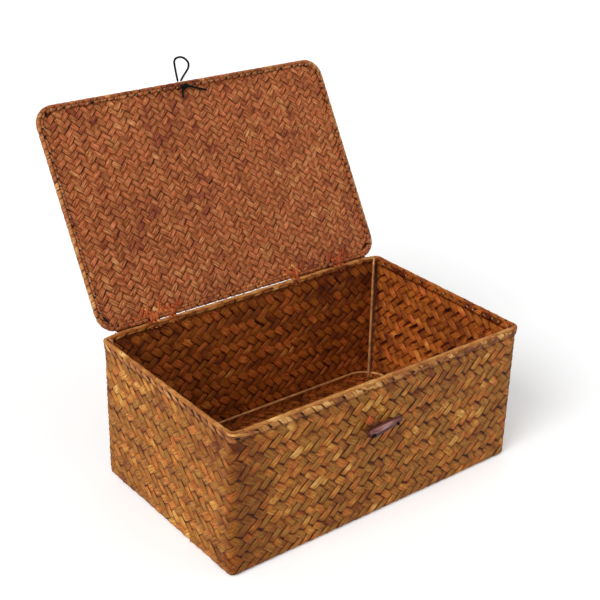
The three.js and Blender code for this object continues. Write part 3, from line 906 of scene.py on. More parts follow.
def wrapped_folds(
    plan, count, path, drift, widths, thickness, place_at, lean, outsides, quiet=(0, 0)
):
    """Strips that wrap an edge one beside the next, each over its neighbour's low side.

    path holds (out, up) points. drift and widths give, at shares of it, how far a strip has moved
    along the edge in mm, and how wide it is in pitches. outsides gives, at the plan's knots, the
    share from which it shows its outer colours. In the quiet run the strips close up.
    """
    pitch = plan.length / count
    lengths = lengths_of(path)
    share = lengths / lengths[-1]
    outward = -normals_of(path)
    shift = np.interp(share, *zip(*drift))[:, None] * MM
    width = np.interp(share, *zip(*widths))[:, None]
    # Painted shade at the fold's ends
    lift = np.interp(share, *FOLD_SHADE_LIFTS)[:, None]
    sides, level = section(FOLD, len(path))
    quiet_length = (quiet[1] - quiet[0]) % plan.length
    strips = []
    for number in range(count):
        middle = (number + random.normal(0, FOLD_PLACE_SPREAD)) * pitch
        at_rest = (middle - quiet[0]) % plan.length < quiet_length
        outside = np.interp(middle % plan.length, plan.knots, outsides)
        facing = np.where(share > outside, 1.0, -1.0)[:, None]
        route = path.copy()
        route[:2] += (path[0] - path[2]) * random.normal(0, FOLD_END_SPREAD) * [[1], [0.5]]
        own_width = np.maximum(width, 1) if at_rest else width
        wide = own_width * (1 + random.normal(0, FOLD_WIDTH_SPREAD)) * pitch / 2
        slope = 1 + random.normal(0, FOLD_SLOPE_SPREAD)
        height = level * thickness / 2 - sides * lean * (1 + random.normal(0, FOLD_LEAN_SPREAD))
        along = middle + shift * slope + sides * wide
        out, up = (route[:, [k]] + outward[:, [k]] * height for k in (0, 1))
        start = random.uniform(0, 10)
        tone = random.uniform(0, 1)
        points = place_at(along, out, up)
        strips.append(leaf_strip(points, lengths[:, None] + start, sides, tone, lift, facing))
    return strips


def lining(name, plan, path, place_at, body):
    """A thin dark sheet under the folds, which shows as shadow in the gaps between them."""
    around = plan.around(240)
    aside = normals_of(path) * LINING_HALF
    ring = np.concatenate([path + aside, (path - aside)[::-1]])
    along = np.broadcast_to(around[:, None], (len(around), len(ring)))
    out, up = section(ring, len(around))
    strips_mesh(name, [{"points": place_at(along, out, up)}], SHADOW, body, True)


def stitches(name, plan, count, out, up, place_at, length, body, without, along_out):
    """Thread that shows as short stitches between the folds, except in one run.

    along_out says that the folds lie flat there, as under the lid, and not upright as on the rim.
    """
    pitch = plan.length / count
    shares = np.linspace(-1, 1, len(STITCH_BULGE))
    tubes = []
    for number in range(count):
        middle = (number + 0.5 + random.normal(0, STITCH_PLACE_SPREAD)) * pitch
        half = length * (1 + random.normal(0, STITCH_LENGTH_SPREAD)) / 2
        away = random.normal(0, STITCH_ASIDE_SPREAD) * along_out
        rise = random.normal(0, STITCH_ASIDE_SPREAD) * (not along_out)
        slope = STITCH_SLOPE * shares * half
        if without[0] < middle < without[1] or random.uniform() < STITCH_MISSING_SHARE:
            continue
        along = middle + shares * half
        if along_out:
            points = place_at(along, out + away + slope, up - STITCH_BULGE)
        else:
            points = place_at(along, out - STITCH_BULGE, up + rise + slope)
        tubes.append(tube_rings(points, THREAD_RADIUS, 6))
    strips_mesh(name, tubes, THREAD, body)


def on_rim(along, out, up):
    """A place on the rim, as far along the plan and as far out and up as given."""
    place, _ = WALL_PLAN.at(along, out)
    height = up + back_rise(along, up)
    return np.concatenate([place, height[..., None]], -1)


def on_lid(along, out, up):
    place, _ = LID_PLAN.at(along, out)
    closed = np.concatenate([place + [0, LID_MIDDLE_Y], up[..., None]], -1)
    return to_world(closed, LID_AT_REST)


# The band over the rim. Its legs reach down from the wire, in mm at the plan's knots from the
# front's middle. BAND_GOLDEN says at the same knots how far its outer colours reach inwards.
BAND_OUTER_LEGS = (1.8, 5.4, 5.0, 1.2, 1.2, 1.2, 0.8, 0.5, 0.5, 1.8)
BAND_INNER_LEGS = (1.2, 1.5, 1.8, 1.8, 1.8, 0.2, 1.2, 1.5, 1.2, 1.2)
BAND_GOLDEN = (0.4, 0.4, 0.1, 0.1, 1.4, 0.6, 0.5, 0.5, 0.4, 0.4)
BAND_SWAY = ((0.05, 331, 0, 0), (0.04, 173, 0, 1), (0.03, 823, 0, 0))
BAND_LEG_SWAY = 2.2
BAND_LEG_TUCKS = (0.06, 0.1)
BAND_THICKNESS = 0.5 * MM
BAND_ACROSS = 1.6
BAND_TONE = 0.55


def rim_band():
    """The smooth strip that lies lengthwise over the rim's wire."""
    around = WALL_PLAN.around(480)[:, None]
    sway = waves(around, 0, BAND_SWAY)
    outer_leg, inner_leg = (
        np.interp(around, WALL_PLAN.knots, legs) * MM * (1 + BAND_LEG_SWAY * sway)
        for legs in (BAND_OUTER_LEGS, BAND_INNER_LEGS)
    )
    outer_tuck, inner_tuck = outer_leg * BAND_LEG_TUCKS[0], inner_leg * BAND_LEG_TUCKS[1]
    golden = np.interp(around, WALL_PLAN.knots, BAND_GOLDEN)
    angles = np.linspace(0, math.pi, 9)[None, :]
    layers = []
    for reach, order in ((RIM_HALF, 1), (RIM_HALF - BAND_THICKNESS, -1)):
        reach = reach * (1 + sway)
        out = np.concatenate([reach - outer_tuck, reach * np.cos(angles), inner_tuck - reach], 1)
        up = np.concatenate([-outer_leg, reach * np.sin(angles), -inner_leg], 1)
        across = np.broadcast_to(np.linspace(BAND_ACROSS, -BAND_ACROSS, out.shape[1]), out.shape)
        layers.append(np.stack([out, up, across, out / reach + golden])[..., ::order])
    out, up, across, side = np.concatenate(layers, 2)
    along = around + np.zeros_like(out)
    # Painted highlight along the band's top and painted shade down its legs
    lift = 0.82 + 0.32 * np.clip(up / RIM_HALF, 0, 1)
    points = on_rim(along, out, up + RIM_WIRE_Z)
    band = leaf_strip(points, along, across, BAND_TONE, lift, side)
    strips_mesh("rim_band", [band], BAND_STRIPS, "box", True)


# Paths of the rim's folds and their lining, as (out, up) from the wire in mm, and at shares of
# these paths the folds' widths in pitches and their drift along the rim in mm
RIM_OUTER_PATH = [(1.1, -6.4), (1.5, -4), (1.8, -2), (1.9, 0), (1.5, 0.8)]
RIM_INNER_PATH = [(-1.7, 0.9), (-2.1, 0), (-1.85, -2), (-1.5, -4), (-1.1, -6.4)]
RIM_SHORT_PATH = [(-1.7, 0.72), (-2.1, 0), (-1.85, -1.6), (-1.5, -3.2)]
RIM_LINING_PATH = [(-1.4, 0.3), (-0.8, 1.2), (0.8, 1.2), (1.45, 0), (1.3, -2.4), (1.1, -5)]
RIM_OUTER_WIDTHS = [(0, 0.85), (0.3, 0.95), (0.52, 0.74), (0.74, 0.44), (1, 0.34)]
RIM_INNER_WIDTHS = [(0, 0.6), (0.4, 0.8), (0.7, 1.0), (1, 0.95)]
RIM_SHORT_WIDTHS = [(0, 0.8), (0.5, 1.05), (1, 0.8)]
RIM_DRIFT = 3.4
RIM_SHORT_DRIFT = [(0, -3), (1, 1)]
RIM_LEAN = 0.16 * MM
RIM_SHORT_THICKNESS = 0.6 * MM
RIM_SHORT_LEAN = 0.3 * MM
RIM_SHORT_OUTSIDE = 0.55
QUIET_START = 14 * MM
RIM_STITCH_OUT = -2.1 * MM
RIM_STITCH_Z = RIM_WIRE_Z - 2.2 * MM
RIM_STITCH_LENGTH = 2.2 * MM


def rim_path(points):
    return np.array(points) * MM + [0, RIM_WIRE_Z]


def rim_folds():
    """Short folds under the band, outside with dark gaps at their tops and inside closer together."""
    back = WALL_PLAN.knots[[4, 5]]
    strips = wrapped_folds(
        WALL_PLAN, WALL_COLUMNS, rim_path(RIM_OUTER_PATH), [(0, RIM_DRIFT), (1, -RIM_DRIFT)],
        RIM_OUTER_WIDTHS, FOLD_THICKNESS, on_rim, RIM_LEAN, np.full(10, -1),
        (WALL_PLAN.knots[8] + QUIET_START, WALL_PLAN.knots[4]),
    )
    inner_strips = wrapped_folds(
        WALL_PLAN, WALL_COLUMNS, rim_path(RIM_INNER_PATH), [(0, -RIM_DRIFT), (1, RIM_DRIFT)],
        RIM_INNER_WIDTHS, FOLD_THICKNESS, on_rim, RIM_LEAN, np.full(10, 2),
    )
    short_strips = wrapped_folds(
        WALL_PLAN, WALL_COLUMNS, rim_path(RIM_SHORT_PATH), RIM_SHORT_DRIFT, RIM_SHORT_WIDTHS,
        RIM_SHORT_THICKNESS, on_rim, RIM_SHORT_LEAN, np.full(10, RIM_SHORT_OUTSIDE),
    )
    middles = (np.arange(WALL_COLUMNS) + 0.5) * WALL_PLAN.length / WALL_COLUMNS
    for long, short, at in zip(inner_strips, short_strips, middles):
        strips.append(short if back[0] < at < back[1] else long)
    item = strips_mesh("rim_folds", strips, RIM_STRIPS, "box")
    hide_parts("rim_fold")
    lining("rim_lining", WALL_PLAN, rim_path(RIM_LINING_PATH), on_rim, "box")
    stitches(
        "rim_stitches", WALL_PLAN, WALL_COLUMNS, RIM_STITCH_OUT, RIM_STITCH_Z, on_rim,
        RIM_STITCH_LENGTH, "box", back, False,
    )


# The hem's folds, from the underside round the edge to the top: half heights at the edge and of
# the legs, drift along the edge in mm and widths in pitches, both at shares of the path, and the
# share from which the outer colours show, at the plan's knots
HEM_HALVES = (2.3 * MM, 1.7 * MM)
HEM_LINING_HALVES = (1.75 * MM, 1.2 * MM)
HEM_DRIFT = [(0, -9), (0.3, -6), (0.7, -3), (1, 0)]
HEM_WIDTHS = [
    (0, 0.6), (0.12, 0.95), (0.26, 0.72), (0.42, 1.05), (0.6, 1.1), (0.86, 0.98), (1, 0.7)
]
HEM_OUTSIDES = (0.72, 0.72, 0.5, 0.5, 0.8, 0.8, 0.42, 0.42, 0.72, 0.72)
HEM_LEG_END = (-6.6 * MM, -0.9 * MM)
HEM_LEG_OUTS = (-5.4 * MM, -4.2 * MM)
HEM_LEG_GAP = 0.12 * MM
HEM_LEAN = 0.2 * MM
HEM_REAR_EXTRA = 12 * MM
HEM_STITCH_OUT = -4.9 * MM
HEM_STITCH_UP = -2 * MM
HEM_STITCH_LENGTH = 1.8 * MM


def hem_path(half, leg_half):
    """The (out, up) points of a fold, from the lid's underside to its top.

    Between its legs and the edge a fold crosses to the other side and back, inside the hem.
    """
    angles = np.linspace(0, math.pi, 9)
    edge = half * np.stack([np.sin(angles), np.cos(angles)], -1) + [-HEM_HALF, 0]
    ups = (-leg_half, HEM_LEG_GAP - half)
    leg = np.array([HEM_LEG_END, *zip(HEM_LEG_OUTS, ups)])
    return np.concatenate([leg, edge, leg[::-1] * [1, -1]])


def hem_folds():
    rear = LID_PLAN.knots[[4, 5]] + [-HEM_REAR_EXTRA, HEM_REAR_EXTRA]
    strips = wrapped_folds(
        LID_PLAN, HEM_COUNT, hem_path(*HEM_HALVES), HEM_DRIFT, HEM_WIDTHS, FOLD_THICKNESS, on_lid,
        HEM_LEAN, HEM_OUTSIDES, rear,
    )
    item = strips_mesh("hem_folds", strips, HEM_STRIPS, "lid")
    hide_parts("lid_hem")
    lining_path = hem_path(*HEM_LINING_HALVES)[1:-1]
    lining("hem_lining", LID_PLAN, lining_path, on_lid, "lid")
    stitches(
        "hem_stitches", LID_PLAN, HEM_COUNT, HEM_STITCH_OUT, HEM_STITCH_UP, on_lid,
        HEM_STITCH_LENGTH, "lid", rear, True,
    )


# Round tubes: wires and cords

TUBE_END_SHARE = 0.75


def smooth(points, steps):
    """A Catmull-Rom curve through points, with that many steps between each two."""
    points = np.asarray(points, float)
    ends = np.concatenate([[2 * points[0] - points[1]], points, [2 * points[-1] - points[-2]]])
    shares = np.linspace(0, 1, steps, endpoint=False)[:, None]
    found = []
    for a, b, c, d in zip(ends, ends[1:], ends[2:], ends[3:]):
        cubic = 3 * b - a - 3 * c + d
        square = 2 * a - 5 * b + 4 * c - d
        found.append(0.5 * (cubic * shares**3 + square * shares**2 + (c - a) * shares + 2 * b))
    return np.concatenate(found + [points[-1:]])


def tube_rings(path, radius, sides, closed=False):
    """Rings of a round tube along a path, turned as little as possible from one to the next."""
    path = np.asarray(path, float)
    if closed:
        along = np.roll(path, -1, 0) - np.roll(path, 1, 0)
    else:
        along = np.gradient(path, axis=0)
    along = along / np.linalg.norm(along, axis=1, keepdims=True)
    across = np.cross(along[0], [0, 0, 1])
    if np.linalg.norm(across) < 0.1:
        across = np.cross(along[0], [0, 1, 0])
    radii = np.full(len(path), radius)
    if not closed:
        radii[[0, -1]] *= TUBE_END_SHARE
    angles = TURN * np.arange(sides) / sides
    rings = []
    for place, ahead, reach in zip(path, along, radii):
        across = across - ahead * (across @ ahead)
        across = across / np.linalg.norm(across)
        up = np.cross(across, ahead)
        turn = np.cos(angles)[:, None] * across + np.sin(angles)[:, None] * up
        rings.append(place + reach * turn)
    shape = (len(path), sides)
    return {
        "points": np.array(rings),
        "along": np.broadcast_to(lengths_of(path)[:, None], shape),
        "around": np.broadcast_to(np.arange(sides) / sides, shape),
    }


# The wire frame: the base ring, the hidden rim wire, the four corner posts and the lid's wire

WIRE_STEPS = 160
RING_RADIUS = 25 * MM
RING_HALF = (RING_HIGH.x - WIRE_RADIUS, RING_HIGH.y - WIRE_RADIUS)
RING_Z = (RING_LOW.z + RING_HIGH.z) / 2
POST_INSET = 2.9 * MM
POST_BEND = 2.6 * MM
POST_FOOT = 2.8 * MM
BACK_POST_SHIFT = 3 * MM


def post_path(side_x, side_y):
    """A corner post's middle line, from its foot to where it bends outwards to the rim's wire."""

    def place(centre_x, centre_y, reach, height):
        step = reach * math.sqrt(0.5)
        return np.array([side_x * (centre_x + step), side_y * (centre_y + step), height])

    ring_corner = (RING_HALF[0] - RING_RADIUS, RING_HALF[1] - RING_RADIUS)
    rim_corner = (WALL_PLAN.half_x - WALL_RADIUS, WALL_PLAN.half_y - WALL_RADIUS)
    shift = np.array([*WALL_SHIFT, 0])
    shift[0] -= side_x * (side_y > 0) * BACK_POST_SHIFT
    reach = WALL_RADIUS - POST_BEND
    low = place(*ring_corner, RING_RADIUS - POST_INSET, RING_Z)
    high = place(*rim_corner, reach, RIM_WIRE_Z - 2 * POST_BEND) + shift
    foot = low - (high - low) * POST_FOOT / (high[2] - low[2])
    points = [foot, low, low * 0.5 + high * 0.5, high]
    for angle in np.linspace(0, math.pi / 2, 6):
        out = reach + POST_BEND * (1 - math.cos(angle))
        up = RIM_WIRE_Z - POST_BEND * (1 - math.sin(angle))
        points.append(place(*rim_corner, out, up) + shift)
    return smooth(points, 4)


def frame_wires():
    """The base ring, the hidden rim wire and the four corner posts."""
    ring_plan = Plan(*RING_HALF, RING_RADIUS)
    for name, plan, height, node in (
        ("base_ring_wire", ring_plan, RING_Z, "base_ring"),
        ("rim_hidden_wire", WALL_PLAN, RIM_WIRE_Z, "rim_wire"),
    ):
        place, _ = plan.at(plan.around(WIRE_STEPS))
        path = np.concatenate([place, np.full((len(place), 1), height)], -1)
        tube = tube_rings(path, WIRE_RADIUS, 14, True)
        item = strips_mesh(name, [tube], BRONZE, "box", True)
        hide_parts(node)
    for side_y, front in ((-1, "front"), (1, "back")):
        for side_x, left in ((-1, "left"), (1, "right")):
            node = f"corner_post_{front}_{left}"
            tube = tube_rings(post_path(side_x, side_y), WIRE_RADIUS, 14)
            item = strips_mesh(node + "_wire", [tube], BRONZE, "box")
            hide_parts(node)


def lid_wire():
    around = LID_PLAN.around(WIRE_STEPS)
    path = on_lid(around, -HEM_HALF, np.zeros_like(around))
    tube = tube_rings(path, WIRE_RADIUS, 12, True)
    item = strips_mesh("lid_hidden_wire", [tube], BRONZE, "lid", True)
    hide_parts("lid_wire")


# Closure cord: the free loop, the knot with its tails, and the legs through the lid. Routes are
# in mm: the loop's as (x, up) from where it turns, a leg's as (in from the lid's edge, up), and
# the others as (x, in from the lid's edge, up).

LOOP_ROUTE = [
    (-1.4, 0), (-3.1, 7.6), (-4.5, 15.1), (-4.9, 18.7), (-3.9, 21), (-1.7, 22), (1.6, 22.1),
    (4.9, 21), (7.5, 19), (9.7, 16.4), (10.4, 13.9), (9.9, 11.1), (7.9, 8.2), (4.5, 4.2), (1.4, 0),
]
LONG_TAIL_ROUTE = [
    (-0.8, 6, -4.5), (2, 6.1, -4.4), (5, 6.7, -3.8), (8.5, 7.6, -2.9), (13, 9, -2.3),
    (18, 10.9, -2.15), (22, 12.3, -2.15),
]
SHORT_TAIL_ROUTE = [
    (-2.4, 6.2, -4.5), (-2.8, 7.4, -3.9), (-3.2, 8.8, -2.85), (-3.6, 10.4, -2.3), (-4.1, 13, -2.15),
    (-4.7, 15.4, -2.15),
]
LEG_ROUTE = [(5.2, -4.6), (5.2, 1.6), (4.8, 3.45), (3.7, 3.85), (1.5, 3.85), (0.8, 3.85)]
BIGHT_ROUTE = [
    (-2.6, 6.2, -5.5), (-0.4, 4.8, -5.9), (2.6, 5.1, -5.6), (3.4, 6.3, -5), (2, 7.2, -4.8),
    (-0.6, 7, -5.4), (-2.4, 5, -5),
]
BIGHT_RADIUS = 0.85 * MM
KNOT_X = CLOSURE_X - 1.5 * MM
KNOT_INSET = 6 * MM
KNOT_UP = -4.35 * MM
KNOT_TURNS = 3.5
KNOT_HALF_LENGTH = 2.6 * MM
KNOT_REACH = 1.2 * MM


def lid_points(points):
    """World places at rest of (x, from the lid's front edge, up) points."""
    closed = np.array(points) + [0, HEM_HALF - LID_WIDTH, 0]
    return to_world(closed, LID_AT_REST)


def lid_route(x, route):
    """The same of a route in mm, from x along X."""
    return lid_points([(x + a * MM, b * MM, c * MM) for a, b, c in route])


def closure_loop():
    start = np.array([CLOSURE_X, LOOP_PIVOT.y, LOOP_PIVOT.z])
    points = [start + [across * MM, 0, up * MM] for across, up in LOOP_ROUTE]
    path = smooth(points, 4)
    tube = tube_rings(path, CORD_RADIUS, 14)
    item = strips_mesh("closure_loop_cord", [tube], CORD, "loop")
    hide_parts("closure_loop")


def closure_tie():
    routes = [lid_route(CLOSURE_X, route) for route in (LONG_TAIL_ROUTE, SHORT_TAIL_ROUTE)]
    for side in (-1, 1):
        leg = [(side * CORD_SPACING / 2 / MM, inward, up) for inward, up in LEG_ROUTE]
        routes.append(lid_route(CLOSURE_X, leg))
    tubes = [tube_rings(smooth(route, 5), CORD_RADIUS, 12) for route in routes]
    angles = np.linspace(0, KNOT_TURNS * TURN, 70)
    coil = np.stack(
        [
            KNOT_X + np.linspace(-KNOT_HALF_LENGTH, KNOT_HALF_LENGTH, len(angles)),
            KNOT_INSET + KNOT_REACH * np.cos(angles),
            KNOT_UP + KNOT_REACH * np.sin(angles),
        ],
        -1,
    )
    tubes.append(tube_rings(lid_points(coil), CORD_RADIUS, 12))
    tubes.append(tube_rings(smooth(lid_route(KNOT_X, BIGHT_ROUTE), 6), BIGHT_RADIUS, 12))
    item = strips_mesh("closure_knot", tubes, CORD, "lid")
    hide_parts("closure_tie")


# Toggle. Its outline gives shares of its length and of its radius, from the left end.

TOGGLE_OUTLINE = [
    (0, 0.0), (0, 0.25), (0.006, 0.5), (0.035, 0.78), (0.1, 0.95), (0.2, 1), (0.4, 0.95), (0.6, 0.84),
    (0.8, 0.7), (0.93, 0.56), (0.985, 0.4), (0.998, 0.22), (1, 0.1), (1, 0.0),
]
TOGGLE_MIDDLE = (TOGGLE_LOW + TOGGLE_HIGH) / 2
TOGGLE_ENDS = (2.8 * MM, 0.8 * MM)
TOGGLE_LENGTH = TOGGLE_HIGH.x - TOGGLE_LOW.x - sum(TOGGLE_ENDS)
TOGGLE_RADIUS = (TOGGLE_HIGH.z - TOGGLE_LOW.z) / 2 * 0.82
TOGGLE_SLOPE = 0.1
TOGGLE_HIGHLIGHT_ANGLE = math.radians(138)
TOGGLE_HOLES = (TOGGLE_LOW.x + 5.6 * MM, TOGGLE_HIGH.x - 7 * MM)
TOGGLE_HOLE_DROPS = (0.8 * MM, 1.3 * MM)
TOGGLE_HOLE_REACH = 2.3 * MM
TOGGLE_HOLE_DEPTH = 2.4 * MM
TOGGLE_CORD_RADIUS = 0.9 * MM
TOGGLE_CORD_FRONT = TOGGLE_MIDDLE.y - 1.6 * MM

# How far the cord stands off the wall's inner face, for the toggle's pull of 3 mm
TOGGLE_CORD_SLACK = 3.4 * MM
TOGGLE_CORD_SHIFTS = (2 * MM, 0)
TOGGLE_CORD_DROPS = (0.5 * MM, 0.6 * MM, 1.2 * MM)
TOGGLE_KNOT_SIZES = (1, 0.7)
TOGGLE_KNOT_TURNS = 2.5
TOGGLE_KNOT_REACH = 0.95 * MM
TOGGLE_KNOT_OUT = 1.4 * MM
TOGGLE_KNOT_HALF_DEPTH = 0.9 * MM
TOGGLE_KNOT_CORD = 0.85 * MM


def toggle_barrel():
    profile = smooth(TOGGLE_OUTLINE, 6)
    share = profile[:, :1]
    reach = TOGGLE_RADIUS * np.maximum(profile[:, 1:], 0.01)
    angles = TURN * np.arange(64) / 64
    x = TOGGLE_LOW.x + TOGGLE_ENDS[0] + share * TOGGLE_LENGTH + 0 * angles
    y = TOGGLE_MIDDLE.y + reach * np.cos(angles)
    z = TOGGLE_MIDDLE.z + reach * np.sin(angles)
    for hole, drop in zip(TOGGLE_HOLES, TOGGLE_HOLE_DROPS):
        away = np.hypot(x - hole, z - TOGGLE_MIDDLE.z + drop) / TOGGLE_HOLE_REACH
        depth = np.clip(1 - away**4, 0, 1) * TOGGLE_HOLE_DEPTH
        y += np.where(y < TOGGLE_MIDDLE.y, depth, 0)
    z += (x - TOGGLE_MIDDLE.x) * TOGGLE_SLOPE
    # A painted highlight along the upper front, fading towards the ends
    facing = np.clip((np.cos(angles - TOGGLE_HIGHLIGHT_ANGLE) - 0.8) / 0.2, 0, 1)
    painted_highlight = facing * np.sin(math.pi * np.clip(share, 0, 1) ** 0.7)
    barrel = {"points": np.stack([x, y, z], -1), "painted_highlight": painted_highlight}
    item = strips_mesh("toggle_barrel", [barrel], WOOD, "toggle")
    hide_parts("toggle")


def toggle_cord():
    """The cord from one hole through the wall, along behind it, and back to the other hole."""
    run = WALL_LOW.y + WALL_THICKNESS + TOGGLE_CORD_SLACK + TOGGLE_CORD_RADIUS
    corner = 2 * TOGGLE_CORD_RADIUS
    route = []
    for x, inward, shift in zip(TOGGLE_HOLES, (1, -1), TOGGLE_CORD_SHIFTS):
        level = TOGGLE_MIDDLE.z + (x - TOGGLE_MIDDLE.x) * TOGGLE_SLOPE - TOGGLE_CORD_DROPS[0]
        low, end = level - TOGGLE_CORD_DROPS[2], x + 2 * shift
        leg = [
            (x, TOGGLE_CORD_FRONT, level),
            (x + shift, (TOGGLE_CORD_FRONT + run) / 2, level - TOGGLE_CORD_DROPS[1]),
            (end, run - corner, low),
            (end + inward * corner * 0.3, run - corner * 0.3, low),
            (end + inward * corner, run, low),
        ]
        route += leg if inward > 0 else leg[::-1]
    tube = tube_rings(smooth(route, 5), TOGGLE_CORD_RADIUS, 12)
    item = strips_mesh("toggle_cord_run", [tube], CORD, "toggle")
    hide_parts("toggle_cord")


def toggle_knots():
    turn = np.linspace(0, TOGGLE_KNOT_TURNS * TURN, 50)
    depth = np.linspace(-TOGGLE_KNOT_HALF_DEPTH, TOGGLE_KNOT_HALF_DEPTH, len(turn))
    y = TOGGLE_CORD_FRONT - TOGGLE_KNOT_OUT + depth
    for x, side, drop, size in zip(
        TOGGLE_HOLES, ("left", "right"), TOGGLE_HOLE_DROPS, TOGGLE_KNOT_SIZES
    ):
        reach = TOGGLE_KNOT_REACH * size
        middle_z = TOGGLE_MIDDLE.z - drop + (x - TOGGLE_MIDDLE.x) * TOGGLE_SLOPE
        coil = np.stack([x + reach * np.cos(turn), y, middle_z + reach * np.sin(turn)], -1)
        tube = tube_rings(coil, TOGGLE_KNOT_CORD * size, 12)
        item = strips_mesh(f"toggle_{side}_knot", [tube], CORD, "toggle")
        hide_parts("toggle_knot_" + side)


# Hinge ties: strips wound round the lid's rear wire and the rim, with their ends fanned out under
# the lid

TIE_THICKNESS = 0.6 * MM
TIE_RING_REACH = 3.45 * MM
TIE_RING_STEP = 0.1 * MM
TIE_REACH = 2.6 * MM
TIE_BELOW = 2.4 * MM
TIE_ABOVE = 0.5 * MM
TIE_CORNER = 1.6 * MM
TIE_FAN = 1.6 * MM
TIE_SPREAD = 0.12 * MM
TIE_WIDTH_SHARES = (0.98, 1.05, 0.9)
TIE_LEANS = (0.5 * MM, 1.6 * MM)

# The fanned ends, with ranges in mm but for their headings, which are in radians off straight
END_MARGIN = 9 * MM
END_HEADINGS = (0.3, 1.2)
END_LENGTHS = (6, 12)
END_STARTS = (2, 5)
END_DROPS = (1.3, 1.7)
END_HALF_WIDTHS = (0.9, 1.5)
END_BOW = 0.3 * MM
END_HALF_THICKNESS = 0.25 * MM


def ribbon(path, x_middle, width, thickness, lean, closed=True):
    """A strip along a (y, z) path, that leans a little along X on its way."""
    path = np.asarray(path, float)
    along = np.roll(path, -1, 0) - np.roll(path, 1, 0) if closed else np.gradient(path, axis=0)
    left = np.stack([-along[:, 1], along[:, 0]], -1)
    left = left / np.linalg.norm(left, axis=1, keepdims=True)
    drift = lean * np.sin(np.linspace(0, TURN, len(path), endpoint=not closed))
    sides, level = section(LEAF, len(path))
    x = x_middle + drift[:, None] + sides * width / 2
    yz = path[:, None, :] + left[:, None, :] * (level * thickness / 2)[..., None]
    points = np.concatenate([x[..., None], yz], -1)
    start = random.uniform(0, 10)
    return leaf_strip(points, lengths_of(path)[:, None] + start, sides, random.uniform(0, 1))


def rounded(corners, radius, steps=5):
    """A closed path through corners, each rounded."""
    corners = np.asarray(corners, float)
    found = []
    for before, corner, after in zip(np.roll(corners, 1, 0), corners, np.roll(corners, -1, 0)):
        back = (before - corner) / np.linalg.norm(before - corner)
        ahead = (after - corner) / np.linalg.norm(after - corner)
        start, end = corner + back * radius, corner + ahead * radius
        for share in np.linspace(0, 1, steps):
            a = start * (1 - share) + corner * share
            b = corner * (1 - share) + end * share
            found.append(a * (1 - share) + b * share)
    return np.array(found)


def tie_strips(low_x, width, count):
    """Strips side by side: each once round the lid's wire, once round the rim, and between them."""
    back_y = WALL_PLAN.half_y + WALL_SHIFT[1]
    y_low, y_high = back_y - TIE_REACH, back_y + TIE_REACH
    z_low, z_high = RIM_WIRE_Z - TIE_BELOW, RIM_HIGH.z + BACK_RIM_RISE + TIE_ABOVE
    corners = [(y_low, z_low), (y_high, z_low), (y_high, z_high), (y_low, z_high)]
    round_rim = rounded(corners, TIE_CORNER)
    riser = np.stack([np.full(6, y_high), np.linspace(z_high - 3 * MM, HINGE.z, 6)], -1)
    angles = TURN * np.arange(32) / 32
    circle = np.stack([np.cos(angles), np.sin(angles)], -1)
    strips = []
    for number in range(count):
        x = low_x + (number + 0.5) * width
        spread = random.normal(0, TIE_SPREAD)
        ring = circle * (TIE_RING_REACH + TIE_RING_STEP * number) + [HINGE.y, HINGE.z]
        fan = (number - (count - 1) / 2) * TIE_FAN
        first, second, third = (width * share for share in TIE_WIDTH_SHARES)
        strips += [
            ribbon(ring, x, first, TIE_THICKNESS, TIE_LEANS[0] + spread),
            ribbon(round_rim, x + fan, second, TIE_THICKNESS, TIE_LEANS[1] + spread),
            ribbon(riser, x, third, TIE_THICKNESS, 0, False),
        ]
    return strips


def tie_ends(low_x, high_x, count):
    """Loose ends that leave a tie in all directions, flat under the lid."""
    shares = np.linspace(0, 1, 5)[:, None]
    sides, level = section(LEAF, len(shares))
    ends = []
    for x in np.linspace(low_x - END_MARGIN, high_x + END_MARGIN, count):
        heading = random.choice([-1, 1]) * random.uniform(*END_HEADINGS)
        ahead = np.array([math.sin(heading), -math.cos(heading)])
        reach = random.uniform(*END_LENGTHS) * MM * ahead
        start = np.array([x, LID_WIDTH / 2 - random.uniform(*END_STARTS) * MM])
        drop = np.sin(shares * math.pi) * END_BOW + random.uniform(*END_DROPS) * MM
        aside = np.array([-ahead[1], ahead[0]]) * random.uniform(*END_HALF_WIDTHS) * MM
        flat = (start + reach * shares)[:, None, :] + aside * sides[..., None]
        up = level * END_HALF_THICKNESS - drop
        closed = np.concatenate([flat + [0, LID_MIDDLE_Y], up[..., None]], -1)
        along = shares * 12 * MM + random.uniform(0, 10)
        ends.append(leaf_strip(to_world(closed, LID_AT_REST), along, sides, random.uniform(0, 1)))
    return ends


def lashings():
    for node in ("outer_left", "inner_left", "inner_right", "outer_right"):
        low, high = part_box("hinge_lashing_" + node)
        count = 3 if node.startswith("outer") else 2
        strips = tie_strips(low.x, (high.x - low.x) / count, count)
        item = strips_mesh("tie_" + node, strips, TIE_STRIPS, "box")
        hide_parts("hinge_lashing_" + node)
        ends = tie_ends(low.x, high.x, 3 + 3 * count)
        strips_mesh("tie_ends_" + node, ends, TIE_STRIPS, "lid")


# Dark strips that close the slit between the lid's rear edge and the rim, as painted shade along
# that join. Their route is given as (out, up) from the hinge and their runs along X, both in mm.

SLIT_ROUTE = np.array([(-1, -5.6), (-0.5, -4.4), (0.1, -3.3), (1.1, -2.8), (2, -2.1)]) * MM
SLIT_RUNS = ((-136, -97), (56, 140))
SLIT_STEP = 6.0
SLIT_WIDTHS = (6.2, 8)
SLIT_THICKNESS = 0.45 * MM
SLIT_LEAN = 0.6 * MM


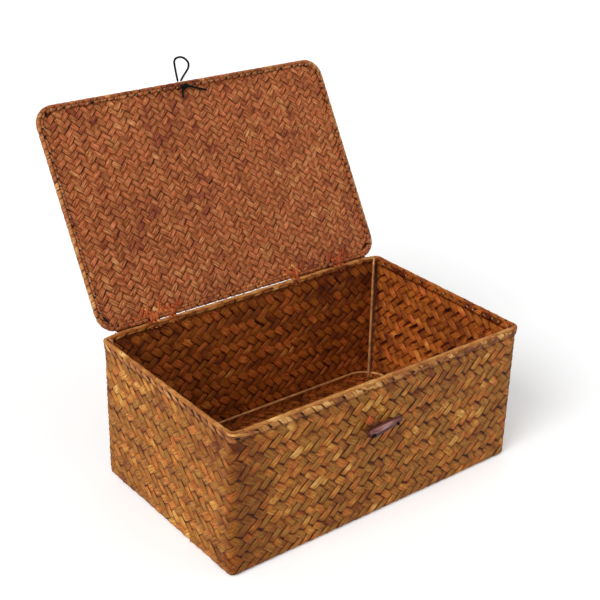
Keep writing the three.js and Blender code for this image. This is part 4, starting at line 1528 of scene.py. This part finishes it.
def slit_ends():
    path = SLIT_ROUTE + [HINGE.y, HINGE.z]
    strips = []
    for low, high in SLIT_RUNS:
        for x in np.arange(low, high, SLIT_STEP):
            width = random.uniform(*SLIT_WIDTHS) * MM
            middle = (x + SLIT_STEP / 2) * MM
            strips.append(ribbon(path, middle, width, SLIT_THICKNESS, SLIT_LEAN, False))
    # Their dark colour is painted shade
    strips_mesh("slit_strips", strips, CORE_SHADE, "box")


# Two loose strips that stand out of the weave by the toggle, in mm: x from the toggle's left end,
# up from its middle, heading in degrees, length and width

LOOSE_STRIPS = [(9, 6.6, 43, 8, 7), (29.5, -9.4, -46, 8, 5)]
LOOSE_GAP = 1.1 * MM
LOOSE_BOW = 0.5 * MM
LOOSE_HALF_THICKNESS = 0.3 * MM


def loose_strips():
    shares = np.linspace(-0.5, 0.5, 6)[:, None]
    sides, level = section(LEAF, len(shares))
    away = LOOSE_BOW * np.cos(shares * math.pi) + level * LOOSE_HALF_THICKNESS
    front = WALL_SHIFT[1] - WALL_PLAN.half_y - LOOSE_GAP - away
    strips = []
    for x, up, heading, length, width in LOOSE_STRIPS:
        turn = math.radians(heading)
        run, reach = shares * length * MM, sides * width / 2 * MM
        across = TOGGLE_LOW.x + x * MM + run * math.cos(turn) + reach * math.sin(turn)
        height = TOGGLE_MIDDLE.z + up * MM - run * math.sin(turn) + reach * math.cos(turn)
        strips.append(leaf_strip(np.stack([across, front, height], -1), run, sides, 0.9))
    strips_mesh("loose_strips", strips, TIE_STRIPS, "box")


# Strip ends that lie loose on the rim at the front left corner, in mm from the corner: along it
# from and to, out from and to, up from and to, tilt in degrees, and width

LOOSE_ENDS = [
    (-8, 9, 0.2, 0.6, 2.1, 2.2, 10, 2.4), (-3, 13, 1.9, 1.4, 1.2, -1.4, 70, 2.6),
    (-12, 2, 1.6, 1.9, 1.2, -2.2, 75, 2.4), (2, 17, 1.9, 1.3, -0.6, -3.4, 80, 2.2),
    (-5, 6, -1.5, -1.2, 1.2, 1.6, -50, 2.2), (-17, -4, 1.4, 1.7, 1.5, -0.5, 65, 2.0),
]
LOOSE_END_BOW = 0.35
LOOSE_END_HALF_THICKNESS = 0.22


def loose_ends():
    corner = (WALL_PLAN.knots[7] + WALL_PLAN.knots[8]) / 2
    shares = np.linspace(0, 1, 12)[:, None]
    sides, level = section(LEAF, len(shares))
    height = level * LOOSE_END_HALF_THICKNESS + LOOSE_END_BOW * np.sin(shares * math.pi)
    strips = []
    for a, b, out_a, out_b, up_a, up_b, tilt, width in LOOSE_ENDS:
        reach = sides * width / 2 * (1 - 0.5 * shares**3)
        cosine, sine = math.cos(math.radians(tilt)), math.sin(math.radians(tilt))
        along = corner + (a + (b - a) * shares + 0 * sides) * MM
        out = (out_a + (out_b - out_a) * shares + reach * cosine + height * sine) * MM
        up = (up_a + (up_b - up_a) * shares - reach * sine + height * cosine) * MM
        points = on_rim(along, out, up + RIM_WIRE_Z)
        strips.append(leaf_strip(points, along, sides, random.uniform(0.4, 1)))
    strips_mesh("loose_ends", strips, RIM_STRIPS, "box")


# Stage. Each lamp is (name, direction, strength, spread in degrees).

FLOOR_HALF = 6.0
FLOOR_GLOW = 0.22
AMBIENT = 0.45
LAMPS = (("key", (-0.85, -0.2, 0.6), 2.7, 40), ("fill", (0.5, -0.8, 0.5), 0.4, 60))


def stage():
    mesh = bpy.data.meshes.new("floor")
    corners = [(x * FLOOR_HALF, y * FLOOR_HALF, 0) for x, y in ((-1, -1), (1, -1), (1, 1), (-1, 1))]
    mesh.from_pydata(corners, [], [(0, 1, 2, 3)])
    made, tree, shader = material("floor", 0.9)
    shader.inputs["Base Color"].default_value = (0.9, 0.9, 0.9, 1)
    shader.inputs["Specular IOR Level"].default_value = 0.1
    camera_ray = add(tree, "LightPath").outputs["Is Camera Ray"]
    shader.inputs["Emission Color"].default_value = (1, 1, 1, 1)
    glow = maths(tree, "MULTIPLY", camera_ray, FLOOR_GLOW)
    tree.links.new(glow, shader.inputs["Emission Strength"])
    floor = linked("floor", mesh, made)
    floor.location.z = -0.0002

    world = bpy.data.worlds.new("world")
    bpy.context.scene.world = world
    world.use_nodes = True
    tree = world.node_tree
    ambient = add(tree, "Background", {"Color": (1, 1, 1, 1), "Strength": AMBIENT})
    white = add(tree, "Background", {"Color": (1, 1, 1, 1), "Strength": 1.0})
    path = add(tree, "LightPath")
    seen = maths(tree, "ADD", path.outputs["Is Camera Ray"], path.outputs["Is Glossy Ray"])
    seen = maths(tree, "ADD", seen, path.outputs["Is Transmission Ray"], clamp=True)
    mixed = add(tree, "MixShader", {0: seen, 1: ambient.outputs[0], 2: white.outputs[0]})
    tree.links.new(mixed.outputs[0], tree.nodes["World Output"].inputs["Surface"])

    for name, direction, strength, spread in LAMPS:
        lamp = bpy.data.lights.new(name, "SUN")
        lamp.energy = strength
        lamp.angle = math.radians(spread)
        item = bpy.data.objects.new(name, lamp)
        bpy.context.scene.collection.objects.link(item)
        item.rotation_euler = Vector(direction).to_track_quat("Z", "Y").to_euler()


bpy.context.scene.view_settings.view_transform = "Standard"
camera()
closure_loop()
closure_tie()
stage()
wall_strips()
base_strips()
lid_strips()
wall_core()
flat_core("base_core", WALL_PLAN, BASE_CORE_INSET, flat_surface(UNDERSIDE, -1), "box")
flat_core("lid_core", LID_PLAN, LID_CORE_INSET, lid_surface, "lid")
rim_folds()
rim_band()
hem_folds()
frame_wires()
lid_wire()
toggle_barrel()
toggle_cord()
toggle_knots()
lashings()
slit_ends()
loose_strips()
loose_ends()
